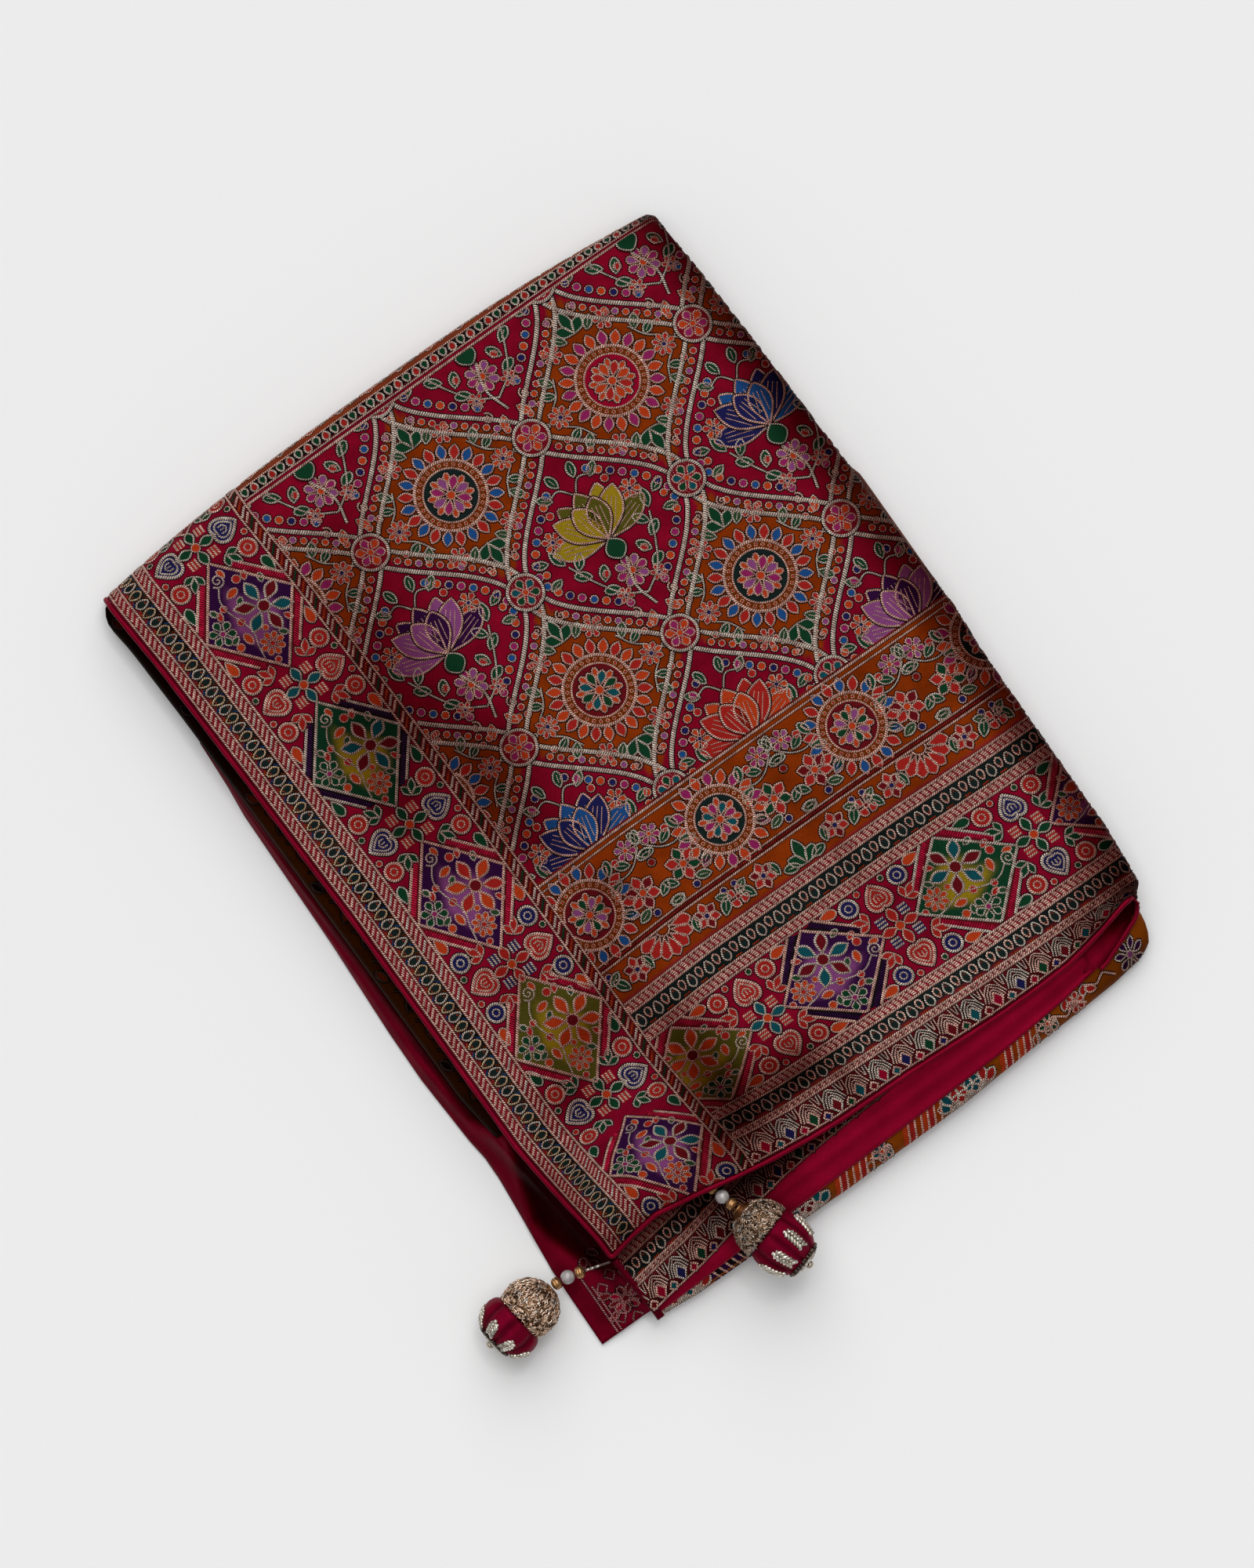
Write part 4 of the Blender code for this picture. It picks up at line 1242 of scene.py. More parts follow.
def long_border(pen, length):
    rope(pen, 2.9, 5.6, HEM_IN, length, (CREAM,))
    drop_chain(pen, 12.3, 6.4, HEM_IN, length, 4.75, (1.0, 0.78, 0, ASH, 0.3),
               (1.0, 0.78, 180, GILT, -0.3))
    for k in range(int(length / 4.75) + 1):
        at = 0.4 + k * 4.75
        for side, dye in ((-1, ORANGE if k % 2 else BLUE), (1, BLUE if k % 2 else OCHRE)):
            pen.thread(((12.3 + side * 3.6, at - 1.5), (12.3 + side * 2.2, at)), 0.8, dye, edge=0.0)
    rope(pen, 16.1, 6.7, HEM_IN, length, (CREAM, CREAM, CREAM, ASH), line_width=1.2)
    rope(pen, 67.5, 6.2, HEM_IN, length, (ORANGE, CREAM, LEAF, CREAM, ASH), 2.9, 1.1)
    for along, look, stripe in LONG_DIAMONDS:
        diamond(pen, (LONG_MIDDLE, along), 22.2, 27.8, DIAMOND_LOOKS[look], LONG_REACH, stripe)
    for along, look in LONG_JOINTS:
        joint(pen, (LONG_MIDDLE, along), JOINT_LOOKS[look], LONG_REACH, 36.0)


long_weave = Weaving(pallu, (SIDE_IN + 0.4, HEM_IN + 0.4, LONG_EDGE, LONG_LENGTH), far_limit)
long_border(Pen(long_weave), LONG_LENGTH)
long_piece = long_weave.make("pallu_long_border")

# %% [markdown]
# The end border is the same drawing mirrored across its diagonal, so that its diamonds lie down. Below it
# come a ladder, a drop chain, another ladder and the woven fringe; above it the ladders and chain again.

# %% The end border
END_PITCH = 68.7
END_DIAMONDS = ((84.3, 1, CRIMSON), (153.0, 0, PURPLE), (221.7, 3, CRIMSON), (290.4, 2, CRIMSON))
END_JOINTS = ((118.6, 1), (187.3, 3), (256.0, 0))
END_MIDDLE = 51.6
END_REACH = 23.1
NOSE_END = 297.0


def chain(pen, middle, low, high):
    drop_chain(pen, middle, 6.3, low + 2.0, high, 4.57, (1.0, 0.84, 0, ASH, 0.0),
               (0.80, 0.66, 180, CREAM, 0.5))
    for k in range(int((high - low) / 9.14) + 1):
        at = low + 9.14 * k
        pen.thread(((middle - 3.5, at + 4.6), (middle - 3.4, at + 8.0)), 0.8, ORANGE, edge=0.0)


def small_bands(pen, low, high):
    """Everything between the hem's edging and the diamonds."""
    pen.line(-0.7, low, high, 0.9, step=2.2)
    fringe(pen, 11.3, low, high)
    ladder(pen, 11.4, 3.7, low, high)
    chain(pen, 18.9, low, high)
    ladder(pen, 22.8, 5.6, low, high)


def end_border(pen, low, high):
    small_bands(pen, low, high)
    for along, look, stripe in END_DIAMONDS:
        diamond(pen, (END_MIDDLE, along), 22.5, 25.9, DIAMOND_LOOKS[look], END_REACH, stripe)
    for along, look in END_JOINTS:
        joint(pen, (END_MIDDLE, along), JOINT_LOOKS[look], END_REACH, 0.5 * END_PITCH)
    ladder(pen, 74.8, 5.6, low, high)
    chain(pen, 84.6, low, high)
    ladder(pen, 88.8, 5.6, low, high)


end_weave = Weaving(pallu, (LONG_EDGE, HEM_IN + 0.4, NOSE_END, 94.6))
end_border(Pen(end_weave, swap=True), LONG_EDGE, NOSE_END)
end_piece = end_weave.make("pallu_end_border")

# %% [markdown]
# Above the end border lies a mustard band: a row of half daisies hanging from a line, then a scatter of
# rosettes and leaves on a waving stem. Both are common fillings of such borders.

# %% The mustard band
DAISY_LINE = 109.4
BAND_TOP = 155.1
BAND_LINES = ((DAISY_LINE + 0.7, 1.1, CREAM), (DAISY_LINE + 2.2, 1.0, SCARLET),
              (DAISY_LINE + 3.6, 0.9, CREAM), (151.9, 1.0, CREAM), (154.6, 1.3, CREAM))
SPRIG_LEAVES = (
    # across, along, angle, dye
    (-7.6, 9.6, 70, GREEN), (-4.4, 5.0, 200, LEAF), (2.6, 8.4, 150, GREEN), (7.6, 9.4, -10, GREEN),
    (9.4, 13.4, 66, LEAF), (-6.6, -9.6, 150, GREEN), (-8.0, -14.0, 20, LEAF), (6.2, -10.4, 40, GREEN),
    (7.0, -14.6, -12, LEAF),
)
SPRIG_DOTS = ((-2.4, 12.8, SCARLET), (-9.6, 1.0, ORANGE), (10.6, 4.0, SCARLET), (0.2, -14.6, NAVY))


def wheel(pen, centre, radius, rims, middle, dyes):
    """A round flower inside a double ring, with a rim of petals."""
    count = 2 * int(radius * 0.72)
    for k in range(count):
        angle = 360.0 * k / count
        pen.petal(polar(centre, radius, angle), angle, 7.0, 4.2, rims[k % 2], full=0.5, sharp=0.95)
    pen.floats(round_path(radius, 28), OCHRE, centre, height=0.15)
    pen.thread(round_path(radius, 34), 1.7, CREAM, centre, closed=True, height=0.62)
    dots = int(radius * 1.9)
    for k in range(dots):
        pen.ring(polar(centre, radius - 1.9, 360.0 * k / dots), 0.75, SCARLET, GILT, 0.7)
    pen.floats(round_path(radius - 3.6, 26), middle, centre, height=0.2)
    pen.thread(round_path(radius - 3.6, 30), 1.2, CREAM, centre, closed=True, height=0.5)
    pen.weaving.base = 0.2
    pen.flower(centre, radius - 6.6, 8, dyes, CREAM, ORANGE, 90, 0.62, 1.0, 0.95)
    for k in range(8):
        angle = 45.0 * k + 22.5
        pen.leaf(polar(centre, 0.62 * (radius - 6.0), angle), angle, 4.4, 2.6, ORANGE, CREAM, False)
    pen.weaving.base = 0.0


def half_daisy(pen, place, radius, dye):
    for k in range(7):
        angle = 180.0 + 180.0 * (k + 0.5) / 7
        pen.petal(polar(place, radius * 0.26, angle), angle, radius * 0.74, radius * 0.40, dye, full=0.68)
    pen.thread(arc_path(radius * 0.24, 180, 360, 6), 0.9, CREAM, place, step=1.0)


def sprig(pen, place, side, dyes):
    """A branch of the mustard band: a pointed flower, a small one, leaves and dots."""
    spot = around(place, side)
    pen.stem([spot(-9.0, 8.0), spot(-3.0, 5.6), spot(3.4, 7.2), spot(9.6, 12.8)])
    pen.flower(spot(0.0, -4.2), 7.8, 6, dyes, CREAM, ORANGE, 90, 0.5, 1.0, 0.95, 1.3)
    pen.flower(spot(4.4, 14.6), 4.8, 6, (MAGENTA, LILAC), CREAM, ORANGE, 90, 0.66, 0.9)
    for across, along, angle, dye in SPRIG_LEAVES:
        pen.leaf(spot(across, along), angle if side > 0 else 180 - angle, 7.4, 4.0, dye)
    for across, along, eye in SPRIG_DOTS:
        pen.ring(spot(across, along), 1.7, eye)


def daisy_row(pen):
    """Half daisies and lobed leaves by turns, with flowers between."""
    for k in range(4):
        at = 105.8 + k * 0.97 * END_PITCH
        if k % 2 == 0:
            half_daisy(pen, (at, DAISY_LINE), 13.2, SCARLET)
        else:
            pen.lobed_leaf((at, 96.0), 90, 12.0)
            for side in (-1, 1):
                pen.leaf((at + side * 3.0, 97.0), 90 - side * 78, 8.0, 4.2, GREEN)
        for side in (-1, 1):
            spot = around((at, 0.0), side)
            pen.flower(spot(18.6, 102.4), 6.0, 6, (SCARLET, DEEP_RED), CREAM, NAVY, 90, 0.5, 1.0, 1.0, 1.2)
            for across, along, angle, length, width, dye in (
                    (12.2, 98.6, 90 - side * 14, 7.4, 4.0, GREEN),
                    (25.4, 97.6, 90 - side * 34, 8.4, 4.4, GREEN),
                    (25.8, 106.6, -90 + side * 60, 7.0, 3.8, LEAF)):
                pen.leaf(spot(across, along), angle, length, width, dye)
            pen.ring(spot(30.6, 107.0), 1.5, NAVY)
        pen.flower((at + 0.5 * END_PITCH, 101.6), 4.8, 4, (SCARLET,), CREAM, DEEP_RED, 45)


def mustard_band(weaving, low, high):
    crossways, pen = Pen(weaving, swap=True), Pen(weaving)
    for place, width, dye in BAND_LINES:
        crossways.line(place, low, high, width, dye)
    daisy_row(pen)
    for k in range(4):
        at = 118.6 + (k - 0.5) * END_PITCH
        rims, middle, dyes, branch = (
            ((BLUE, SCARLET), DEEP_RED, (GREEN, LILAC), (SCARLET, DEEP_RED)),
            ((MAGENTA, ORANGE), INK, (MAGENTA, TEAL), (GREEN, SCARLET)),
        )[k % 2]
        wheel(pen, (at, 132.6), 14.6, rims, middle, dyes)
        for side in (-1, 1):
            sprig(pen, (at + side * 0.5 * END_PITCH - side * 10.6, 130.6), side, branch)


mustard_weave = Weaving(pallu, (LONG_EDGE, 94.8, NOSE_END, 155.6))
mustard_band(mustard_weave, LONG_EDGE, NOSE_END)
mustard_piece = mustard_weave.make("pallu_mustard_band")

# %% [markdown]
# The field is a jaal, a net of pointed ovals, with a lotus plant in each crimson oval and a petalled
# rosette in each mustard one. The net is drawn as waving double lines with small ring dots between them,
# so that neighbours share their outlines, as on the loom.

# %% The net
FIELD_LOW = 156.0
FIELD_HIGH = 357.3
OVAL_WIDTH = 84.0
OVAL_HEIGHT = 104.0
LOTUS_FIRST = (186.0, 259.0)
OVAL_FULLNESS = 0.72
NET_GAP = 3.7


def oval_half(turn):
    """Half an oval's width, where its height runs from -pi to pi."""
    return 0.5 * OVAL_WIDTH * (0.5 + 0.5 * np.cos(turn)) ** OVAL_FULLNESS


def wave_path(middle, side, low, high, step=2.6):
    """One waving line of the net, to the right or left of an oval's middle."""
    along = np.arange(low, high + step, step)
    return columns(middle + side * oval_half(2 * np.pi * (along - LOTUS_FIRST[1]) / OVAL_HEIGHT), along)


def beside(path, gap):
    """The path moved sideways by a gap."""
    return path + gap * rightwards(np.gradient(path, axis=0))


def in_oval(flat, middle):
    """How far inside an oval each place is: 1 at its middle line, 0 on its outline."""
    off = np.abs(flat[:, 1] - middle[1]) / (0.5 * OVAL_HEIGHT)
    half = np.maximum(oval_half(np.pi * np.minimum(off, 1.0)), 0.01)
    return np.where(off < 1.0, 1.0 - np.abs(flat[:, 0] - middle[0]) / half, -1.0)


def between(value, margin):
    """True where a distance from an oval's middle keeps this margin to both of its ends."""
    return margin < abs(value) < 0.5 * OVAL_WIDTH - margin


def net(pen, low, high):
    for k in range(-2, 3):
        middle = LOTUS_FIRST[0] + k * OVAL_WIDTH
        for side in (-1, 1):
            path = wave_path(middle, side, low, high)
            for gap in (-NET_GAP, NET_GAP):
                pen.thread(beside(path, gap), 2.2, ASH, height=0.62)
            for n, dot in enumerate(spaced(path, 4.5)):
                if between(dot[0] - middle, 5.4):
                    pen.ring(dot, 1.45, (ORANGE, LILAC, ORANGE, SCARLET)[n % 4])
            for n, dot in enumerate(spaced(beside(path, -side * 8.3), 5.2)):
                if in_oval(dot[None], (middle, LOTUS_FIRST[1]))[0] > 0.1 or dot[1] < 200 or dot[1] > 318:
                    if between(dot[0] - middle, 6.5):
                        pen.ring(dot, 1.75, (NAVY, ORANGE, BLUE, MAGENTA)[n % 4])


def medallion(pen, place, dyes):
    """A small flower over the points where the lines meet."""
    pen.weaving.base = 0.5
    pen.floats(round_path(7.6, 18), DEEP_RED, place, middle=CRIMSON, height=0.1)
    pen.thread(round_path(7.7, 22), 1.5, ASH, place, closed=True, height=0.42)
    pen.flower(place, 6.2, 6, dyes, CREAM, ORANGE, 90, 0.66, 0.85)
    pen.weaving.base = 0.0


print("ovals:", OVAL_WIDTH, "x", OVAL_HEIGHT, "mm")

# %% [markdown]
# The lotus plant has its own drawing order: far petals first, each row a little higher than the last, so
# that near petals lie over far ones as silk floats do. Everything beside its stem is mirrored, so each
# place is measured from the oval's middle line and drawn once for each side.

# %% The jaal
LOTUS_ROWS = (
    # petals, spread in degrees, length and width in radii
    (4, 72, 1.0, 0.40), (3, 40, 0.96, 0.42), (2, 15, 0.78, 0.40),
)
LOTUS_DYES = ((ORANGE, SCARLET), (PURPLE, LILAC), (OLIVE, YELLOW), (BLUE, NAVY))
ROSETTE_LOOKS = (((SCARLET, ORANGE), DEEP_RED, (GREEN, TEAL)), ((BLUE, SCARLET), INK, (LILAC, MAGENTA)),
                 ((MAGENTA, ORANGE), CRIMSON, (ORANGE, SCARLET)))


def small_flower(pen, place, radius, dyes, count=6):
    pen.flower(place, radius, count, dyes, CREAM, NAVY, 90, 0.66, 0.85)


def lotus(pen, place, radius, dyes, angle=90.0):
    """A lotus seen from the side: each row of petals lies over the one behind it."""
    for row, (count, spread, length, width) in enumerate(LOTUS_ROWS):
        pen.weaving.base = 0.42 * row
        for k in range(count):
            turn = angle + spread * (2.0 * k / (count - 1) - 1.0)
            path = turned(petal_path(radius * length, radius * width, 0.58), turn)
            pen.floats(path, dyes[(row + k) % len(dyes)], place, height=0.16)
            pen.thread(path, 1.15, CREAM, place, closed=True)
            for side in (-0.22, 0.0, 0.22):
                vein = turned(((0.30 * radius * length, side * radius * width),
                               (0.78 * radius * length, 0.8 * side * radius * width)), turn)
                pen.thread(vein, 0.6, CREAM, place, edge=0.0)
    base = turned(petal_path(radius * 0.4, radius * 0.36, 0.5), angle + 180.0)
    pen.floats(base, GREEN, place, height=0.3)
    pen.thread(base, 0.95, ASH, place, closed=True, height=0.6)
    pen.weaving.base = 0.0


def lotus_side(pen, centre, side):
    """What grows on one side of a lotus plant."""
    spot = around(centre, side)

    def leaf(across, along, lean, length, width, dye, line=ASH):
        pen.leaf(spot(across, along), lean, length, width, dye, line)

    pen.stem([spot(0, -30), spot(9, -24), spot(15.5, -14), spot(21, -2)], 1.0)
    for share, angle, size in ((0.25, 20, 7.2), (0.45, 120, 7.6), (0.62, 35, 8.0), (0.8, 128, 8.0),
                               (0.98, 72, 8.6)):
        start = spot(4 + 18 * share, -29 + 29 * share)
        pen.leaf(start, angle if side > 0 else 180 - angle, size, 4.2, GREEN, ASH, size > 7.5)
    small_flower(pen, spot(20.0, 10.5), 4.7, (ORANGE, SCARLET))
    pen.stem([spot(0, 21), spot(5, 27), spot(10.5, 25.5)])
    leaf(9.6, 24.6, 90 - side * 50, 7.0, 4.0, LEAF)
    leaf(4.0, 28.0, 90 - side * 16, 7.6, 4.0, GREEN)
    pen.curl(spot(9.5, -34.5), 2.6, 90, 1.5, CREAM, side)
    leaf(3.6, -37.0, -90 + side * 26, 7.4, 3.8, ORANGE, CREAM)
    pen.ring(spot(14.2, 20.2), 1.7, SCARLET)
    pen.ring(spot(9.8, -13.6), 1.7, SCARLET)
    leaf(27.0, 4.0, 90 - side * 66, 7.0, 3.8, GREEN)
    leaf(26.4, -4.6, 90 - side * 104, 6.6, 3.6, LEAF)
    pen.ring(spot(30.5, 0.6), 1.6, ORANGE)
    small_flower(pen, spot(8.6, -25.8), 3.8, (SCARLET,))


def lotus_plant(pen, centre, turn):
    """What fills a crimson oval."""
    spot = around(centre)
    flip = 1 if turn % 2 == 0 else -1
    pen.stem([spot(0, -36), spot(-flip * 2.6, -24), spot(flip * 1.6, -10), spot(0, 2)], 1.3)
    lotus(pen, spot(0, -2.0), 25.0, LOTUS_DYES[turn % 4])
    pen.flower(spot(0, -18.5), 7.4, 8, (MAGENTA, LILAC), CREAM, ORANGE, 90, 0.64, 0.95)
    for side in (-1, 1):
        lotus_side(pen, centre, side)


def rosette(pen, centre, turn):
    """What fills a mustard oval: a round flower inside a rim of petals, with sprays above and below."""
    wheel(pen, centre, 15.4, *ROSETTE_LOOKS[turn % 3])
    for end in (-1, 1):
        pen.lobed_leaf(around(centre, 1, end)(0.0, 25.5), 90 * end, 11.5)
        for side in (-1, 1):
            spot = around(centre, side, end)
            small_flower(pen, spot(13.5, 23.6), 4.6, (SCARLET,))
            pen.leaf(spot(5.0, 24.0), end * (90 - side * 44), 7.0, 3.8)
            pen.curl(spot(6.0, 35.5), 2.4, 90, 1.5, CREAM, side)
        pen.ring(around(centre, 1, end)(0.0, 41.0), 1.8, ORANGE)
    for side in (-1, 1):
        small_flower(pen, around(centre, side)(27.0, 0.0), 5.2, (ORANGE, SCARLET), 8)
        pen.leaf(around(centre, side)(32.4, 0.0), 90 - side * 90, 6.4, 3.6, GREEN)
        for end in (-1, 1):
            spot = around(centre, side, end)
            pen.stem([spot(27.0, 5.0), spot(23.0, 8.4), spot(19.4, 15.2)])
            pen.leaf(spot(23.0, 8.4), end * (90 - side * 62), 6.6, 3.6, GREEN)
            pen.leaf(spot(20.8, 12.4), end * (90 - side * 36), 7.6, 4.0)
            pen.ring(spot(30.4, 9.4), 1.5, SCARLET)


def jaal(pen, low, high):
    for row in range(-1, 3):
        for column in range(-1, 2):
            centre = (LOTUS_FIRST[0] + column * OVAL_WIDTH, LOTUS_FIRST[1] + (row - 1) * OVAL_HEIGHT)
            other = (centre[0] + 0.5 * OVAL_WIDTH, centre[1] + 0.5 * OVAL_HEIGHT)
            if low - 50 < centre[1] < high + 50:
                lotus_plant(pen, centre, column + 2 * row + 4)
            for shift in (0.0, -OVAL_WIDTH)[:2 if column == -1 else 1]:
                if low - 50 < other[1] < high + 50:
                    rosette(pen, (other[0] + shift, other[1]), column + row + 4 + int(shift < 0))
    net(pen, low, high)
    for row in range(-2, 4):
        for column in range(-3, 4):
            spot = (LOTUS_FIRST[0] + 0.5 * column * OVAL_WIDTH,
                    LOTUS_FIRST[1] + (row + 0.5 * (1 + column % 2)) * OVAL_HEIGHT)
            medallion(pen, spot, (GREEN, TEAL) if column % 2 else (MAGENTA, ORANGE))


field_weave = Weaving(pallu, (LONG_EDGE, FIELD_LOW, NOSE_END, FIELD_HIGH))
jaal(Pen(field_weave), FIELD_LOW, FIELD_HIGH)
field_piece = field_weave.make("pallu_field")

# %% [markdown]
# Past the field the next bands start, just where the cloth rolls over its far edge: a pair of lines, a
# drop chain, and a plain stretch with rosettes that falls to the floor behind.

# %% Past the field


def far_bands(weaving, low, high):
    crossways, pen = Pen(weaving, swap=True), Pen(weaving)
    for place, width in ((358.0, 1.3), (360.2, 0.9), (366.4, 1.0)):
        crossways.line(place, low, high, width)
    for k in range(int((high - low) / 4.7) + 1):
        path = turned(drop_path(5.2, 3.4), 90 if k % 2 else 270)
        pen.floats(path * 0.8, (GREEN, SCARLET)[k % 2], (low + 2 + 4.7 * k, 363.3))
        pen.thread(path, 1.0, ASH, (low + 2 + 4.7 * k, 363.3), closed=True, edge=0.3, step=1.5)
    for k in range(15):
        at = low + 8.0 + 15.6 * k
        pen.flower((at, 375.4), 5.8, 6, ((SCARLET, ORANGE), (GREEN, TEAL))[k % 2], CREAM, NAVY)
        pen.leaf((at + 5.6, 371.2), 60, 7.0, 3.6, GREEN)
    crossways.line(383.2, low, high, 1.2)


far_weave = Weaving(pallu, (LONG_EDGE, 357.4, NOSE_END, 393.0), far_limit)
far_bands(far_weave, LONG_EDGE, NOSE_END)
far_piece = far_weave.make("pallu_far_bands")

# %% [markdown]
# The pallu's ground is painted under all this: dyes for each band, crimson and mustard ovals in the field.
# The cloth is then made as a thin closed wall, and stands for the construction's plain one. Its weaving
# goes with it.

# %% The pallu's ground
FIELD_TOP = 358.6
LONG_DYES = ((2.8, ROSE), (8.6, RUNG), (16.1, DARK), (22.9, RUNG), (67.4, ROSE), (73.8, DEEP_RED))
END_DYES = ((-1.2, ROSE), (11.3, DEEP_RED), (15.2, RUNG), (22.7, INK), (28.5, RUNG), (74.7, ROSE),
            (80.5, RUNG), (88.7, INK), (94.5, RUNG), (155.1, MUSTARD))
BEYOND_DYES = ((360.6, CRIMSON), (366.4, DARK), (420.0, MUSTARD))


def dyed(places, table):
    """A dye for each place, from a table of upper limits."""
    limits = np.array([limit for limit, _ in table])
    dyes = np.array([dye for _, dye in table])
    return dyes[np.clip(np.searchsorted(limits, places), 0, len(table) - 1)]


def field_dye(flat):
    """Crimson ovals and mustard ovals."""
    crimson = np.zeros(len(flat), bool)
    for row in range(-3, 3):
        for column in range(-3, 4):
            middle = (LOTUS_FIRST[0] + column * OVAL_WIDTH, LOTUS_FIRST[1] + row * OVAL_HEIGHT)
            crimson |= in_oval(flat, middle) >= 0.0
    return np.where(crimson[:, None], np.array(CRIMSON), np.array(MUSTARD))


def pallu_ground(flat):
    u, v = flat[:, 0], flat[:, 1]
    paint = dyed(v, END_DYES)
    field = (v > BAND_TOP) & (v < FIELD_TOP)
    paint = np.where(field[:, None], field_dye(flat), paint)
    paint = np.where((v >= FIELD_TOP)[:, None], dyed(v, BEYOND_DYES), paint)
    paint = np.where((u < LONG_EDGE)[:, None], dyed(u, LONG_DYES), paint)
    chain = (u > 8.6) & (u < 16.1)
    tone = 0.5 + 0.5 * np.sin(v * 0.09)[:, None]
    return np.where(chain[:, None], np.array(DARK) + tone * np.array((0.012, 0.014, 0.010)), paint)


def unevenly(paint, flat):
    """The small unevenness of a hand-dyed cloth."""
    wave = np.sin(flat[:, 0] * 0.071 + 1.7 * np.sin(flat[:, 1] * 0.043)) * np.sin(flat[:, 1] * 0.058)
    return paint * (1.0 + 0.10 * wave)[:, None]


pallu_piece = cloth_piece("pallu_silk", pallu, pallu_across, pallu_along,
                          lambda flat: unevenly(pallu_ground(flat), flat), REVERSE)
dress(pallu_piece, "pallu", "pallu_panel")
pallu_weaving = [long_piece, end_piece, mustard_piece, field_piece, far_piece]
for piece in pallu_weaving:
    dress(piece, "pallu")

# %% [markdown]
# Under the lifted hem lies the tucked stretch of the same end, with its own hem lower down. Its pattern is
# the small bands again, so the same drawing is laid on another surface.

# %% The tucked stretch
TUCK_LEFT = -130.4
TUCK_WIDTH = 144.0
TUCK_BACK = -146.0


def tuck_surface(flat):
    x = flat[:, 0] + TUCK_LEFT
    y = read(TUCK_HEM, x) + flat[:, 1] - HEM_IN
    sag = 0.25 * np.sin(x * 0.16) * ramp(-195.0, -180.0, y)
    return columns(x, y, crown(x, y) - TUCK_DEPTH + sag * 0.6)


def hem_grid(hem, left, width, back, step=2.0):
    """Flat places for a strip between its own hem and a hidden line behind."""
    across = np.linspace(0.0, width, int(width / step) + 1)
    depth = back - read(hem, across + left)
    rows = np.linspace(0.0, 1.0, int(depth.max() / step) + 1)
    return np.tile(across, (len(rows), 1)), rows[:, None] * depth[None, :]


tuck = Cloth(tuck_surface, tuck_shade)
tuck_piece = cloth_piece("tuck_silk", tuck, *hem_grid(TUCK_HEM, TUCK_LEFT, TUCK_WIDTH, TUCK_BACK),
                         lambda flat: dyed(flat[:, 1], END_DYES), CRIMSON)
tuck_weave = Weaving(tuck, (0.6, HEM_IN + 0.4, TUCK_WIDTH - 0.6, 46.0),
                     lambda flat: flat[:, 1] < TUCK_BACK - read(TUCK_HEM, flat[:, 0] + TUCK_LEFT) - 0.5)
small_bands(Pen(tuck_weave, swap=True), 0.0, TUCK_WIDTH)
tuck_weaving = tuck_weave.make("tuck_weaving")
dress(tuck_piece, "pallu", "pallu_tuck")
dress(tuck_weaving, "pallu")

# %% [markdown]
# Along the near edge the pallu's return shows its reverse: plain crimson satin, ribbed by the weft. Fine
# pleats from the turn of the fold run along it, and its lower edge is rolled.

# %% The return
RETURN_LEFT = -130.6
RETURN_WIDTH = 238.2
RETURN_BACK = -140.0


def return_surface(flat):
    x = flat[:, 0] + RETURN_LEFT
    t = flat[:, 1]
    y = read(BAND_HEM, x) + t
    pleats = 0.28 * np.sin(0.9 * t + 0.02 * x) + 0.16 * np.sin(2.1 * t + 0.9 * np.sin(0.03 * x))
    waves = 0.22 * np.sin(0.11 * x) + 0.14 * np.sin(0.27 * x + 1.0)
    shown = 1.0 - ramp(16.0, 24.0, t)
    edge = -0.9 * np.clip(1.0 - t / 1.3, 0.0, 1.0) ** 2
    z = crown(x, y) - band_depth(x) + WALL + (0.55 * (pleats + waves) - 0.25) * shown + edge
    return columns(x, y, z)


def return_grid():
    """Flat places of the return, closer together at its lower edge."""
    across, along = hem_grid(BAND_HEM, RETURN_LEFT, RETURN_WIDTH, RETURN_BACK, 1.7)
    near = np.linspace(0.0, 1.0, 7)[:-1, None] * along[1][None, :]
    return np.vstack([np.tile(across[0], (6, 1)), across[1:]]), np.vstack([near, along[1:]])


RIBBED = silk("return_satin", roughness=0.36, rib=0.55, rib_depth=0.30, cloud=0.12, gloss=0.55)
return_piece = cloth_piece("return_satin", Cloth(return_surface, fold_shade), *return_grid(),
                           lambda flat: unevenly(np.tile(REVERSE, (len(flat), 1)), flat), CRIMSON, RIBBED)
dress(return_piece, "reverse", "pallu_return")

# %% [markdown]
# The rest of the saree's length is folded into the bundle below, layer on layer. Only its edges show: a
# strip along the near edge, a dark opening on the left, a sliver on the right. The wall is made of fine
# rounded folds, each standing out a little more or less than the next, closed over by the top layer.

# %% The bundle's outline
BODY_GAP = 1.1
SIDE_RADIUS = 4.0
LAYERS = 13
GROOVE = 1.05


def body_depth(x, y):
    """Depth of the hidden layers' top under the pallu's outer face."""
    deep = band_depth(x) + BODY_GAP
    share = np.maximum(ramp(116.0, 132.0, -y), ramp(82.0, 98.0, x))
    return TUCK_DEPTH + (deep - TUCK_DEPTH) * share + 5.5 * ramp(100.0, 134.0, -x) * ramp(-150.0, -120.0, y)


def rounding(radius, inside):
    reach = np.clip(radius - inside, 0.0, radius)
    return radius - np.sqrt(radius ** 2 - reach ** 2)


def body_top(x, y):
    """Top of the hidden layers, rounded down to their outline."""
    far = body_depth(x, 150.0)
    drops = np.stack([
        rounding(FAR_RADIUS - far, np.maximum(far_edge(x) - far - y, 0.0)),
        rounding(SIDE_RADIUS, x - read(BODY_LEFT, y)),
        rounding(SIDE_RADIUS, read(BODY_RIGHT, y) - x),
        rounding(SIDE_RADIUS, y - read(BODY_NEAR, x)),
    ])
    return crown(x, y) - body_depth(x, y) - drops.max(axis=0)


